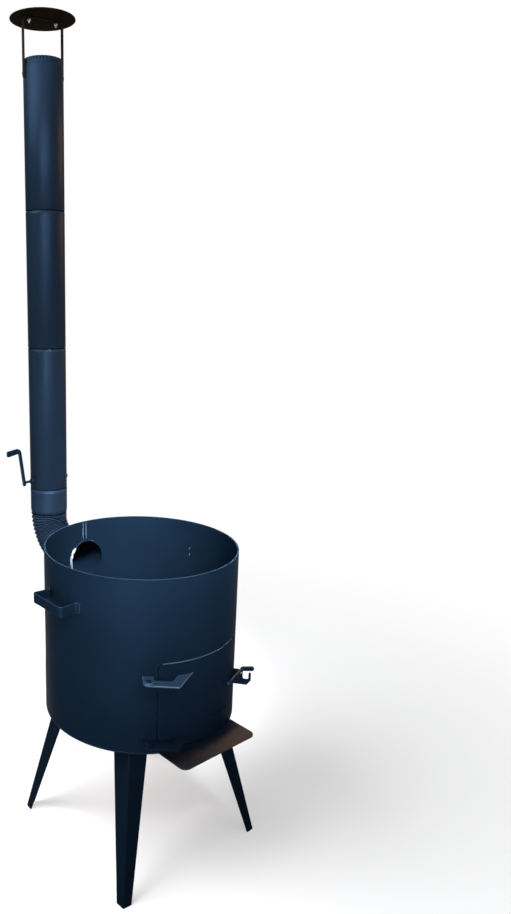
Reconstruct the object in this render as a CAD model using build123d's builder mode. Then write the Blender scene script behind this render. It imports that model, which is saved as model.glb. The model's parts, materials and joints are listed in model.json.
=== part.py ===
from build123d import *
import os
from math import asin, cos, degrees, radians, sin, tan

# Cauldron stove: a steel drum on four folded legs, with a fire door and an ash shelf in front
# and a chimney of slip-fit pipes behind. Millimetres, +Z up. The origin is on the ground under
# the drum's axis, the door faces -Y and the flue leaves towards +Y.

# Drum and floor plate
DRUM_D = 400.0
DRUM_H = 350.0
DRUM_WALL = 3.0
DRUM_FOOT_Z = 300.0
FLOOR_T = 3.0

# Ash shelf, one piece with the floor plate
SHELF_W = 195.0
SHELF_OUT = 45.5
SHELF_CORNER_R = 14.0

# Legs, each folded lengthwise; the front pair stands a little wider than the rear pair
LEG_T = 3.0
LEG_TOP_FLANGE = 46.5
LEG_FOOT_FLANGE = 19.5
LEG_OPENING = 96.0
LEG_SET_IN = 20.0
LEG_SPREAD = 57.5
FRONT_LEG_AZIMUTH = 46.0
REAR_LEG_AZIMUTH = 138.0
LEG_FOLD_R = 3.5

# Door, a rounded panel of the drum's own wall
DOOR_HALF_W = 100.0
DOOR_BOTTOM = 7.0
DOOR_H = 175.5
DOOR_GAP = 2.3
DOOR_CORNER_R = 12.0
VENT_COUNT = 5
VENT_W = 4.0
VENT_H = 15.0
VENT_PITCH = 11.0
VENT_FIRST_X = 22.0
VENT_Z = 39.0

# Hinges: a tab on the drum over an arm on the door, on an upright bolt
HINGE_AZIMUTH = -36.0
HINGE_STAND = 19.5
HINGE_BAR_W = 20.0
HINGE_BAR_T = 3.0
HINGE_INSET = 25.0
HINGE_GAP = 0.3
HINGE_NUT_H = 2.0
HINGE_TAIL = 0.5
ARM_RUN = 50.8
ARM_TILT = 6.6
ARM_KICK = 67.0
ARM_KICK_RUN = 60.0

# M6 and M5 fasteners
BOLT_R = 3.0
DOME_R = 5.0
DOME_H = 3.2
NUT_FLATS = 10.0
NUT_H = 5.0
RUN_CLEAR = 0.1
HOLE_CLEAR = 0.3
BOLT_TAIL = 1.5

# Carry handles
HANDLE_BAR_W = 20.0
HANDLE_BAR_T = 3.0
HANDLE_LEN = 96.0
HANDLE_REACH = 35.6
HANDLE_DROP = 63.0
HANDLE_FOOT_IN = 43.0
HANDLE_FOOT_OUT = 53.0
HANDLE_BEND_R = 5.0
HANDLE_FOOT_BEND_R = 6.0

# Latch: a falling bar on the door and a notched catch on the drum
LATCH_AZIMUTH = 21.5
LATCH_Z = 93.0
LATCH_BAR_H = 10.0
LATCH_BAR_T = 3.0
LATCH_STAND = 3.0
LATCH_PAST = 11.4
LATCH_FINGER = 25.0
LATCH_KICK = 59.0
LATCH_BEND_R = 5.0
SPACER_R = 6.0
BUTTON_R = 5.6
BUTTON_H = 3.2
CATCH_AZIMUTH = 38.0
CATCH_T = 3.0
CATCH_BELOW = 12.7
NOTCH_CLEAR = 0.9
TOOTH_W = 2.6
AIR_NOTCH_W = 11.6
AIR_NOTCH_DROP = 11.0
CATCH_LIP_W = 5.0
CATCH_LIP_H = 15.0
CATCH_CUT_IN = 8.0
CATCH_CUT_UP = 11.0

# Chimney
PIPE_D = 87.0
PIPE_WALL = 1.0
PIPE_BACK = 142.0
FLUE_FIT = 0.3
FLUE_IN = 2.0
ELBOW_R = 76.0
ELBOW_INSET = 0.8
ELBOW_PLEATS = 15
PLEAT_DEPTH = 2.2
FLUE_DROP = 88.0
COLLAR_H = 66.0
LOWER_PIPE_H = 330.5
MIDDLE_PIPE_H = 300.0
UPPER_PIPE_H = 294.5
SPIGOT_H = 22.0
TOP_SPIGOT_H = 13.0
COLLAR_SPIGOT_H = 11.0
SLIP = 0.3
BEAD_R = 0.8
BEAD_DROP = 8.0
TOP_BEAD_DROP = 24.0
CRIMP_COUNT = 36
CRIMP_R = 1.5
CRIMP_DEPTH = 0.5
CRIMP_TAPER = 1.0
SHOULDER_H = 3.0
COLLAR_TAPER_H = 12.0

# Damper
DAMPER_UP = 18.5
SHAFT_R = 3.0
BUSH_R = 5.5
BUSH_LEN = 7.5
DISC_CLEAR = 1.2
DISC_T = 1.5
SHAFT_FLAT = 1.0
SHAFT_OUT = 25.5
SHAFT_FAR = 3.0
GRIP_T = 4.0
LEVER_W = 8.0
LEVER_FOOT = 9.0
LEVER_RISE = 84.0
LEVER_LEAN = 12.0
GRIP_LEN = 36.5
GRIP_W = 13.5
GRIP_FILLET = 12.0
SCREW_R = 1.5
SCREW_HEAD_R = 2.8
SCREW_OFFSET = 18.0

# Rain cap
CAP_D = 140.0
CAP_T = 1.5
CAP_LIFT = 79.0
STRAP_W = 10.0
STRAP_T = 2.0
STRAP_BEND_R = 4.0
STRAP_DROP = 37.0
STRAP_FIT = 0.1
STRAP_BOLT_UP = 6.8
STRAP_TURN = -9.0
CAP_BOLT_R = 2.0
CAP_BOLT_SPAN = 62.0
CAP_BOLT_TAIL = 5.0
CAP_HEAD_R = 4.0
CAP_HEAD_H = 2.2
CAP_NUT_FLATS = 7.0
CAP_NUT_H = 3.2

# Fire grate, lying loose on four lugs
GRATE_CLEAR = 8.0
GRATE_T = 6.0
GRATE_Z = 48.0
GRATE_RING = 14.0
GRATE_BAR = 10.0
GRATE_SLOT = 12.0
LUG_LEN = 30.0
LUG_W = 20.0
LUG_T = 3.0
LUG_AZIMUTH = 45.0
LUG_FOLD = 14.0

# Worked out from the sizes above
DRUM_R = DRUM_D / 2
BORE_R = DRUM_R - DRUM_WALL
RIM_Z = DRUM_FOOT_Z + DRUM_H
PLATE_Z = DRUM_FOOT_Z - FLOOR_T
SHELF_REACH = DRUM_R + SHELF_OUT
LEG_TOP_R = DRUM_R - LEG_SET_IN
LEG_FOOT_R = DRUM_R + LEG_SPREAD
HINGE_R = DRUM_R + HINGE_STAND
HANDLE_Z = RIM_Z - HANDLE_DROP - HANDLE_BAR_W
PIPE_Y = DRUM_R + PIPE_BACK
PIPE_R = PIPE_D / 2
BEND_TUBE_R = PIPE_R - ELBOW_INSET
PIPE_BORE_R = PIPE_R - PIPE_WALL
SPIGOT_R = PIPE_BORE_R - SLIP
HOLE_Z = RIM_Z - FLUE_DROP
BEND_TOP_Z = HOLE_Z + ELBOW_R
JOINT_Z = BEND_TOP_Z + COLLAR_H
MIDDLE_Z = JOINT_Z + LOWER_PIPE_H
UPPER_Z = MIDDLE_Z + MIDDLE_PIPE_H
UPPER_TOP_Z = UPPER_Z + UPPER_PIPE_H
PIPE_TOP_Z = UPPER_TOP_Z + TOP_SPIGOT_H
DAMPER_Z = JOINT_Z + DAMPER_UP
CAP_Z = PIPE_TOP_Z + CAP_LIFT
FLUE_HOLE_R = PIPE_R + FLUE_FIT

os.makedirs("parts", exist_ok=True)


def polar(radius, azimuth):
    """Plan point at a radius, its azimuth counted from the door (-Y) towards +X."""
    return (radius * sin(radians(azimuth)), -radius * cos(radians(azimuth)))


def radial_plane(azimuth):
    """Upright plane through the drum's axis: x runs outwards, y upwards."""
    outward = polar(1, azimuth)
    return Plane(origin=(0, 0, 0), x_dir=(*outward, 0), z_dir=(outward[1], -outward[0], 0))


def tangent_plane(azimuth, radius, height):
    """Upright plane that faces outwards: x runs along the drum, y upwards."""
    outward = polar(1, azimuth)
    place = (*polar(radius, azimuth), height)
    return Plane(origin=place, x_dir=(-outward[1], outward[0], 0), z_dir=(*outward, 0))


def write(part, label):
    """Label a finished piece and write its STEP file."""
    part.label = label
    export_step(part, f"parts/{label}.step")


# Drum shell: a rolled wall, open above for the cauldron, with the door and flue openings
DOOR_Z = DRUM_FOOT_Z + DOOR_BOTTOM
DOOR_MID_Z = DOOR_Z + DOOR_H / 2

with BuildPart() as drum_shell:
    with BuildSketch(Plane.XY.offset(DRUM_FOOT_Z)):
        Circle(DRUM_R)
        Circle(BORE_R, mode=Mode.SUBTRACT)
    extrude(amount=DRUM_H)
    with BuildSketch(Plane.XZ):
        with Locations((0, DOOR_MID_Z)):
            RectangleRounded(
                2 * (DOOR_HALF_W + DOOR_GAP), DOOR_H + 2 * DOOR_GAP, DOOR_CORNER_R + DOOR_GAP
            )
    extrude(amount=DRUM_D, mode=Mode.SUBTRACT)
    with BuildSketch(Plane.XZ):
        with Locations((0, HOLE_Z)):
            Circle(FLUE_HOLE_R)
    extrude(amount=-DRUM_D, mode=Mode.SUBTRACT)
write(drum_shell.part, "drum_shell")

# Floor plate with the ash shelf in front of the door
with BuildPart() as floor_plate:
    with BuildSketch(Plane.XY.offset(PLATE_Z)):
        Circle(DRUM_R)
        with Locations((0, -SHELF_REACH / 2)):
            RectangleRounded(SHELF_W, SHELF_REACH, SHELF_CORNER_R)
    extrude(amount=FLOOR_T)
write(floor_plate.part, "floor_plate")


# Legs: each a tapered plate folded lengthwise, its fold outwards, cut level at both ends
def make_leg(label, azimuth):
    """One folded leg under the floor plate."""
    outward = polar(1, azimuth)
    half = radians(LEG_OPENING / 2)
    lean_in = Vector(cos(half), sin(half))
    skin = Vector(sin(half), -cos(half)) * LEG_T
    with BuildPart() as leg:
        for height, radius, flange in (
            (0, LEG_FOOT_R, LEG_FOOT_FLANGE),
            (PLATE_Z, LEG_TOP_R, LEG_TOP_FLANGE),
        ):
            end_out = lean_in * flange
            end_in = end_out + skin
            place = (*polar(radius, azimuth), height)
            with BuildSketch(Plane(origin=place, x_dir=(-outward[0], -outward[1], 0), z_dir=(0, 0, 1))):
                with BuildLine():
                    Polyline(
                        (0, 0),
                        (end_out.X, end_out.Y),
                        (end_in.X, end_in.Y),
                        (LEG_T / sin(half), 0),
                        (end_in.X, -end_in.Y),
                        (end_out.X, -end_out.Y),
                        close=True,
                    )
                make_face()
        loft(ruled=True)
        steep = [edge for edge in leg.edges() if edge.length > PLATE_Z * 0.9]
        steep.sort(key=lambda edge: Vector(edge.center().X, edge.center().Y).length)
        fillet(steep[-1], LEG_FOLD_R)
    write(leg.part, label)


make_leg("leg_front_left", -FRONT_LEG_AZIMUTH)
make_leg("leg_front_right", FRONT_LEG_AZIMUTH)
make_leg("leg_rear_right", REAR_LEG_AZIMUTH)
make_leg("leg_rear_left", -REAR_LEG_AZIMUTH)


# Carry handles: flat bars bent to a bow, their feet welded to the drum
def make_handle(label, side):
    """One carry handle; side is +1 for +X and -1 for -X."""
    foot_r = DRUM_R + HANDLE_BAR_T / 2
    bow_x = DRUM_R + HANDLE_REACH - HANDLE_BAR_T / 2
    bow_y = (HANDLE_LEN - HANDLE_BAR_T) / 2
    foot_mid = degrees(asin((HANDLE_FOOT_IN + HANDLE_FOOT_OUT) / 2 / foot_r))
    mid_point = Vector(foot_r * cos(radians(foot_mid)), foot_r * sin(radians(foot_mid)))
    along = Vector(-sin(radians(foot_mid)), cos(radians(foot_mid)))
    half = (HANDLE_FOOT_OUT - HANDLE_FOOT_IN) / 2
    foot_end = mid_point + along * half
    foot_root = mid_point - along * half
    quarter = [(foot_end.X, foot_end.Y), (foot_root.X, foot_root.Y), (bow_x, bow_y)]
    points = [(side * x, y) for x, y in quarter] + [(side * x, -y) for x, y in quarter[::-1]]
    bends = [HANDLE_FOOT_BEND_R, HANDLE_BEND_R, HANDLE_BEND_R, HANDLE_FOOT_BEND_R]
    with BuildPart() as handle:
        with BuildSketch(Plane.XY.offset(HANDLE_Z)):
            with BuildLine():
                FilletPolyline(*points, radius=bends)
            trace(line_width=HANDLE_BAR_T)
            Circle(DRUM_R, mode=Mode.SUBTRACT)
        extrude(amount=HANDLE_BAR_W)
    write(handle.part, label)


make_handle("carry_handle_left", -1)
make_handle("carry_handle_right", 1)

# Hinges: both share one plan and repeat at two heights
PIN = polar(HINGE_R, HINGE_AZIMUTH)
UPPER_TAB_Z = DOOR_Z + DOOR_H - HINGE_INSET
LOWER_TAB_Z = DOOR_Z + HINGE_INSET - HINGE_BAR_T
ARM_DROP = HINGE_BAR_T + HINGE_GAP


def make_tab(label, height):
    """Hinge tab welded square to the drum, its free end round about the bolt."""
    with BuildPart() as tab:
        with BuildSketch(Plane.XY.offset(height)):
            with Locations(polar((HINGE_R + BORE_R) / 2, HINGE_AZIMUTH)):
                Rectangle(HINGE_BAR_W, HINGE_R - BORE_R, rotation=HINGE_AZIMUTH)
            with Locations(PIN):
                Circle(HINGE_BAR_W / 2)
                Circle(BOLT_R + HOLE_CLEAR, mode=Mode.SUBTRACT)
            Circle(DRUM_R, mode=Mode.SUBTRACT)
        extrude(amount=HINGE_BAR_T)
    write(tab.part, label)


def make_arm(label, height):
    """Door arm: it swings on the bolt, runs past the door's edge and kicks in to the panel."""
    run_angle = radians(HINGE_AZIMUTH - ARM_TILT)
    kick_angle = run_angle + radians(ARM_KICK)
    elbow = (PIN[0] + ARM_RUN * cos(run_angle), PIN[1] + ARM_RUN * sin(run_angle))
    tip = (elbow[0] + ARM_KICK_RUN * cos(kick_angle), elbow[1] + ARM_KICK_RUN * sin(kick_angle))
    with BuildPart() as arm:
        with BuildSketch(Plane.XY.offset(height)):
            with BuildLine():
                Polyline(PIN, elbow, tip)
            trace(line_width=HINGE_BAR_W)
            with Locations(PIN):
                Circle(HINGE_BAR_W / 2)
                Circle(BOLT_R + RUN_CLEAR, mode=Mode.SUBTRACT)
            Circle(DRUM_R, mode=Mode.SUBTRACT)
        extrude(amount=HINGE_BAR_T)
    write(arm.part, label)


make_tab("hinge_tab_upper", UPPER_TAB_Z)
make_tab("hinge_tab_lower", LOWER_TAB_Z)
make_arm("hinge_arm_upper", UPPER_TAB_Z - ARM_DROP)
make_arm("hinge_arm_lower", LOWER_TAB_Z - ARM_DROP)

NUT_TOP_DROP = ARM_DROP + HINGE_GAP

with BuildPart() as hinge_bolts:
    for tab_z in (LOWER_TAB_Z, UPPER_TAB_Z):
        dome_top = tab_z + HINGE_BAR_T + DOME_H
        with BuildSketch(Plane.XY.offset(tab_z + HINGE_BAR_T)):
            with Locations(PIN):
                Circle(DOME_R)
        extrude(amount=DOME_H)
        rims = hinge_bolts.edges().filter_by(GeomType.CIRCLE)
        fillet(rims.sort_by_distance((*PIN, dome_top))[0], DOME_H * 0.8)
        with BuildSketch(Plane.XY.offset(tab_z + HINGE_BAR_T)):
            with Locations(PIN):
                Circle(BOLT_R)
        extrude(amount=-(HINGE_BAR_T + NUT_TOP_DROP + HINGE_NUT_H + HINGE_TAIL))
write(hinge_bolts.part, "hinge_bolts")

with BuildPart() as hinge_nuts:
    for tab_z in (LOWER_TAB_Z, UPPER_TAB_Z):
        with BuildSketch(Plane.XY.offset(tab_z - NUT_TOP_DROP)):
            with Locations(PIN):
                RegularPolygon(NUT_FLATS / 2, 6, major_radius=False)
                Circle(BOLT_R, mode=Mode.SUBTRACT)
        extrude(amount=-HINGE_NUT_H)
write(hinge_nuts.part, "hinge_nuts")

# Door panel: the drum's curve, cut smaller than its opening by the gap, with air slots
with BuildPart() as door_panel:
    with BuildSketch(Plane.XY.offset(DOOR_Z)):
        Circle(DRUM_R)
        Circle(BORE_R, mode=Mode.SUBTRACT)
    extrude(amount=DOOR_H)
    with BuildSketch(Plane.XZ):
        with Locations((0, DOOR_MID_Z)):
            RectangleRounded(2 * DOOR_HALF_W, DOOR_H, DOOR_CORNER_R)
    extrude(amount=DRUM_D, mode=Mode.INTERSECT)
    with BuildSketch(Plane.XZ):
        for slot in range(VENT_COUNT):
            with Locations((VENT_FIRST_X + slot * VENT_PITCH, DRUM_FOOT_Z + VENT_Z + VENT_H / 2)):
                SlotOverall(VENT_H, VENT_W, rotation=90)
    extrude(amount=DRUM_D, mode=Mode.SUBTRACT)
    with BuildSketch(tangent_plane(LATCH_AZIMUTH, 0, DRUM_FOOT_Z + LATCH_Z)):
        Circle(BOLT_R)
    extrude(amount=DRUM_D, mode=Mode.SUBTRACT)
write(door_panel.part, "door_panel")

# Latch lever: pivots at the door, lies along it and ends in a finger bent outwards
LATCH_MID_Z = DRUM_FOOT_Z + LATCH_Z
BAR_IN_R = DRUM_R + LATCH_STAND
BAR_MID_R = BAR_IN_R + LATCH_BAR_T / 2
BAR_OUT_R = BAR_IN_R + LATCH_BAR_T
LATCH_RUN = BAR_MID_R * tan(radians(CATCH_AZIMUTH - LATCH_AZIMUTH)) + LATCH_PAST

with BuildPart() as latch_lever:
    pivot = polar(BAR_MID_R, LATCH_AZIMUTH)
    run_angle = radians(LATCH_AZIMUTH)
    finger_angle = run_angle - radians(LATCH_KICK)
    tail = (
        pivot[0] - LATCH_BAR_H / 2 * cos(run_angle),
        pivot[1] - LATCH_BAR_H / 2 * sin(run_angle),
    )
    bend = (pivot[0] + LATCH_RUN * cos(run_angle), pivot[1] + LATCH_RUN * sin(run_angle))
    finger = (
        bend[0] + LATCH_FINGER * cos(finger_angle),
        bend[1] + LATCH_FINGER * sin(finger_angle),
    )
    with BuildSketch(Plane.XY.offset(LATCH_MID_Z - LATCH_BAR_H / 2)):
        with BuildLine():
            FilletPolyline(tail, bend, finger, radius=LATCH_BEND_R)
        trace(line_width=LATCH_BAR_T)
    extrude(amount=LATCH_BAR_H)
    with BuildSketch(tangent_plane(LATCH_AZIMUTH, 0, LATCH_MID_Z)):
        Circle(BOLT_R + RUN_CLEAR)
    extrude(amount=DRUM_D, mode=Mode.SUBTRACT)
    end_faces = [
        latch_lever.faces().sort_by_distance((*place, LATCH_MID_Z))[0] for place in (tail, finger)
    ]
    ends = [
        edge
        for face in end_faces
        for edge in face.edges()
        if abs(edge.center().Z - LATCH_MID_Z) > LATCH_BAR_H / 4
    ]
    fillet(ends, LATCH_BAR_H / 2 * 0.96)
write(latch_lever.part, "latch_lever")

# Latch pivot: a button-head bolt through lever, spacer and door, with a nut inside
NUT_IN_R = BORE_R - 0.15

with BuildPart() as latch_pivot_bolt:
    with BuildSketch(tangent_plane(LATCH_AZIMUTH, BAR_OUT_R + RUN_CLEAR, LATCH_MID_Z)):
        Circle(BUTTON_R)
    extrude(amount=BUTTON_H)
    rims = latch_pivot_bolt.edges().filter_by(GeomType.CIRCLE)
    fillet(rims.sort_by_distance((*polar(DRUM_D, LATCH_AZIMUTH), LATCH_MID_Z))[0], BUTTON_H * 0.8)
    with BuildSketch(tangent_plane(LATCH_AZIMUTH, NUT_IN_R - NUT_H - BOLT_TAIL, LATCH_MID_Z)):
        Circle(BOLT_R)
    extrude(amount=BAR_OUT_R + RUN_CLEAR - NUT_IN_R + NUT_H + BOLT_TAIL)
write(latch_pivot_bolt.part, "latch_pivot_bolt")

with BuildPart() as latch_spacer:
    with BuildSketch(tangent_plane(LATCH_AZIMUTH, BORE_R, LATCH_MID_Z)):
        Circle(SPACER_R)
        Circle(BOLT_R, mode=Mode.SUBTRACT)
    extrude(amount=BAR_IN_R - RUN_CLEAR - BORE_R)
    with BuildSketch(Plane.XY.offset(DRUM_FOOT_Z)):
        Circle(DRUM_R)
    extrude(amount=DRUM_H, mode=Mode.SUBTRACT)
write(latch_spacer.part, "latch_spacer")

with BuildPart() as latch_nut:
    with BuildSketch(tangent_plane(LATCH_AZIMUTH, NUT_IN_R - NUT_H, LATCH_MID_Z)):
        RegularPolygon(NUT_FLATS / 2, 6, major_radius=False)
        Circle(BOLT_R, mode=Mode.SUBTRACT)
    extrude(amount=NUT_H)
write(latch_nut.part, "latch_nut")

# Latch catch: a notched plate on edge. The bar lies in the inner notch, and the outer one holds
# the door ajar for air
with BuildPart() as latch_catch:
    lean = radians(CATCH_AZIMUTH - LATCH_AZIMUTH)
    half_sweep = CATCH_T / 2 * tan(lean)
    notch_in = BAR_IN_R / cos(lean) - half_sweep - NOTCH_CLEAR
    notch_out = BAR_OUT_R / cos(lean) + half_sweep + NOTCH_CLEAR
    notch_low = LATCH_MID_Z - LATCH_BAR_H / 2 - HINGE_GAP
    plate_top = LATCH_MID_Z + LATCH_BAR_H / 2 - NOTCH_CLEAR
    air_in = notch_out + TOOTH_W
    air_out = air_in + AIR_NOTCH_W
    air_low = notch_low - AIR_NOTCH_DROP
    lip_out = air_out + CATCH_LIP_W
    lip_top = air_low + CATCH_LIP_H
    bottom = air_low - CATCH_BELOW
    with BuildSketch(radial_plane(CATCH_AZIMUTH)) as catch_side:
        with BuildLine():
            Polyline(
                (BORE_R, bottom),
                (lip_out - CATCH_CUT_IN, bottom),
                (lip_out, bottom + CATCH_CUT_UP),
                (lip_out, lip_top),
                (air_out, lip_top),
                (air_out, air_low),
                (air_in, air_low),
                (air_in, plate_top),
                (notch_out, plate_top),
                (notch_out, notch_low),
                (notch_in, notch_low),
                (notch_in, plate_top),
                (BORE_R, plate_top),
                close=True,
            )
        make_face()
        lip_tip = catch_side.vertices().group_by(Axis.X)[-1] + catch_side.vertices().group_by(Axis.X)[-2]
        fillet(lip_tip.filter_by(lambda corner: abs(corner.Y - lip_top) < CATCH_T), CATCH_LIP_W * 0.45)
        air_floor = catch_side.vertices().filter_by(lambda corner: abs(corner.Y - air_low) < CATCH_T / 10)
        fillet(air_floor, AIR_NOTCH_W * 0.3)
    extrude(amount=CATCH_T / 2, both=True)
    with BuildSketch(Plane.XY.offset(DRUM_FOOT_Z)):
        Circle(DRUM_R)
    extrude(amount=DRUM_H, mode=Mode.SUBTRACT)
write(latch_catch.part, "latch_catch")

# Chimney: everything in it is round about one upright axis behind the drum
FLUE_AXIS = Axis((0, PIPE_Y, 0), (0, 0, 1))
PIPE_SIDE = Plane(origin=(0, PIPE_Y, 0), x_dir=(1, 0, 0), z_dir=(0, -1, 0))


def revolve_pipe(low, high, spigot, foot, bead_drop):
    """Slip-fit pipe: a bead near its top, a shoulder, then a crimped spigot that tapers."""
    rim_r = SPIGOT_R - CRIMP_TAPER
    top = high + spigot
    outside = foot + [
        (PIPE_R, high - SHOULDER_H),
        (SPIGOT_R, high),
        (rim_r, top),
    ]
    inside = [
        (rim_r - PIPE_WALL, top),
        (SPIGOT_R - PIPE_WALL, high),
        (PIPE_BORE_R, high - SHOULDER_H - PIPE_WALL),
        (foot[0][0] - PIPE_WALL, low),
    ]
    with BuildSketch(PIPE_SIDE) as wall:
        with BuildLine():
            Polyline(*outside, *inside, close=True)
        make_face()
        with Locations((PIPE_R, high - bead_drop)):
            Circle(BEAD_R)
    revolve(wall.sketch, axis=FLUE_AXIS)
    with BuildSketch(Plane.XY.offset(high)) as flutes:
        with Locations((0, PIPE_Y)):
            with PolarLocations(SPIGOT_R + CRIMP_R - CRIMP_DEPTH, CRIMP_COUNT):
                Circle(CRIMP_R)
    extrude(flutes.sketch, amount=spigot, mode=Mode.SUBTRACT)


def bore_for_shaft():
    """Holes for the damper shaft, straight through both walls."""
    with BuildSketch(Plane(origin=(0, PIPE_Y, DAMPER_Z), x_dir=(0, 1, 0), z_dir=(1, 0, 0))) as hole:
        Circle(SHAFT_R + RUN_CLEAR)
    extrude(hole.sketch, amount=PIPE_D, both=True, mode=Mode.SUBTRACT)


# Flue elbow: plain end through the drum's wall, a pleated bend, and a plain collar with a spigot
def bend_plane(angle):
    """Section plane of the bend, its angle counted from the upright end."""
    turn = radians(angle)
    centre_y = PIPE_Y - ELBOW_R + ELBOW_R * cos(turn)
    centre_z = BEND_TOP_Z - ELBOW_R * sin(turn)
    return Plane(origin=(0, centre_y, centre_z), x_dir=(1, 0, 0), z_dir=(0, sin(turn), cos(turn)))


with BuildPart() as flue_elbow:
    half_pleat = 90 / (2 * ELBOW_PLEATS)
    for wall, mode in ((0, Mode.ADD), (PIPE_WALL, Mode.SUBTRACT)):
        for step in range(2 * ELBOW_PLEATS + 1):
            with BuildSketch(bend_plane(step * half_pleat)):
                Circle(BEND_TUBE_R - wall - PLEAT_DEPTH * (step % 2))
        loft(ruled=True, mode=mode)
    plain_end = PIPE_Y - ELBOW_R
    with BuildSketch(Plane(origin=(0, plain_end, HOLE_Z), x_dir=(1, 0, 0), z_dir=(0, -1, 0))):
        Circle(PIPE_R)
        Circle(PIPE_BORE_R - PIPE_WALL, mode=Mode.SUBTRACT)
    extrude(amount=plain_end)
    with BuildSketch(Plane.XY.offset(DRUM_FOOT_Z)):
        Circle(BORE_R - FLUE_IN)
    extrude(amount=DRUM_H, mode=Mode.SUBTRACT)
    with BuildSketch(Plane.XY.offset(DRUM_FOOT_Z)):
        with Locations((0, -DRUM_D / 2)):
            Rectangle(DRUM_D, DRUM_D)
    extrude(amount=DRUM_H, mode=Mode.SUBTRACT)
    collar_foot = [(BEND_TUBE_R, BEND_TOP_Z), (PIPE_R, BEND_TOP_Z + COLLAR_TAPER_H)]
    revolve_pipe(BEND_TOP_Z, JOINT_Z, COLLAR_SPIGOT_H, collar_foot, BEAD_DROP)
write(flue_elbow.part, "flue_elbow")

with BuildPart() as pipe_lower:
    revolve_pipe(JOINT_Z, MIDDLE_Z, SPIGOT_H, [(PIPE_R, JOINT_Z)], BEAD_DROP)
    bore_for_shaft()
write(pipe_lower.part, "pipe_lower")

with BuildPart() as pipe_middle:
    revolve_pipe(MIDDLE_Z, UPPER_Z, SPIGOT_H, [(PIPE_R, MIDDLE_Z)], BEAD_DROP)
write(pipe_middle.part, "pipe_middle")

# Rain cap: its strap's own plan angle, shared by the pipe's bolt holes
STRAP_AXIS = Vector(cos(radians(STRAP_TURN)), sin(radians(STRAP_TURN)), 0)
STRAP_SIDE = Plane(
    origin=(0, PIPE_Y, 0), x_dir=STRAP_AXIS, z_dir=(STRAP_AXIS.Y, -STRAP_AXIS.X, 0)
)
STRAP_IN = PIPE_R + BEAD_R + STRAP_FIT
STRAP_LOW_Z = PIPE_TOP_Z - STRAP_DROP
STRAP_BOLT_Z = STRAP_LOW_Z + STRAP_BOLT_UP


def strap_bolt_plane(end, distance):
    """Plane across one lower strap bolt, facing outwards."""
    outward = STRAP_AXIS * end
    place = outward * distance + Vector(0, PIPE_Y, STRAP_BOLT_Z)
    return Plane(origin=place, x_dir=(0, 0, 1), z_dir=outward)


with BuildPart() as pipe_upper:
    revolve_pipe(UPPER_Z, UPPER_TOP_Z, TOP_SPIGOT_H, [(PIPE_R, UPPER_Z)], TOP_BEAD_DROP)
    for end in (-1, 1):
        with BuildSketch(strap_bolt_plane(end, 0)):
            Circle(CAP_BOLT_R)
        extrude(amount=PIPE_D, mode=Mode.SUBTRACT)
write(pipe_upper.part, "pipe_upper")

# Damper: a disc on a shaft across the lowest pipe, turned by a crank handle outside
with BuildPart() as damper_bushes:
    for end in (-1, 1):
        with BuildSketch(Plane(origin=(0, PIPE_Y, DAMPER_Z), x_dir=(0, 1, 0), z_dir=(end, 0, 0))):
            Circle(BUSH_R)
            Circle(SHAFT_R + RUN_CLEAR, mode=Mode.SUBTRACT)
        extrude(amount=PIPE_R + BUSH_LEN)
    with BuildSketch(Plane.XY.offset(JOINT_Z)):
        with Locations((0, PIPE_Y)):
            Circle(PIPE_R)
    extrude(amount=LOWER_PIPE_H, mode=Mode.SUBTRACT)
write(damper_bushes.part, "damper_bushes")

DISC_R = SPIGOT_R - CRIMP_TAPER - PIPE_WALL - DISC_CLEAR
FLAT_Y = PIPE_Y + SHAFT_R - SHAFT_FLAT

SHAFT_PLANE = Plane(origin=(0, PIPE_Y, DAMPER_Z), x_dir=(0, 1, 0), z_dir=(-1, 0, 0))
SHAFT_FAR_END = PIPE_R + BUSH_LEN + SHAFT_FAR
LEVER_X = PIPE_R + SHAFT_OUT
LEVER_SLOPE = LEVER_LEAN / LEVER_RISE

with BuildPart() as damper_shaft:
    with BuildSketch(SHAFT_PLANE.offset(-SHAFT_FAR_END)):
        Circle(SHAFT_R)
    extrude(amount=SHAFT_FAR_END + LEVER_X - LEVER_W / 2 - LEVER_SLOPE * SHAFT_R)
    with BuildSketch(Plane(origin=(0, FLAT_Y, DAMPER_Z), x_dir=(1, 0, 0), z_dir=(0, 1, 0))):
        Rectangle(2 * (DISC_R + RUN_CLEAR), 2 * SHAFT_R)
    extrude(amount=SHAFT_R, mode=Mode.SUBTRACT)
write(damper_shaft.part, "damper_shaft")

with BuildPart() as damper_disc:
    with BuildSketch(Plane(origin=(0, FLAT_Y, DAMPER_Z), x_dir=(-1, 0, 0), z_dir=(0, 1, 0))):
        Circle(DISC_R)
    extrude(amount=DISC_T)
write(damper_disc.part, "damper_disc")

with BuildPart() as damper_screws:
    for end in (-1, 1):
        with BuildSketch(Plane(origin=(0, FLAT_Y + DISC_T, DAMPER_Z), x_dir=(-1, 0, 0), z_dir=(0, 1, 0))):
            with Locations((end * SCREW_OFFSET, 0)):
                Circle(SCREW_HEAD_R)
        extrude(amount=SCREW_R)
write(damper_screws.part, "damper_screws")

LEVER_SIDE = Plane(origin=(0, PIPE_Y, DAMPER_Z), x_dir=(-1, 0, 0), z_dir=(0, 1, 0))

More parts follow.
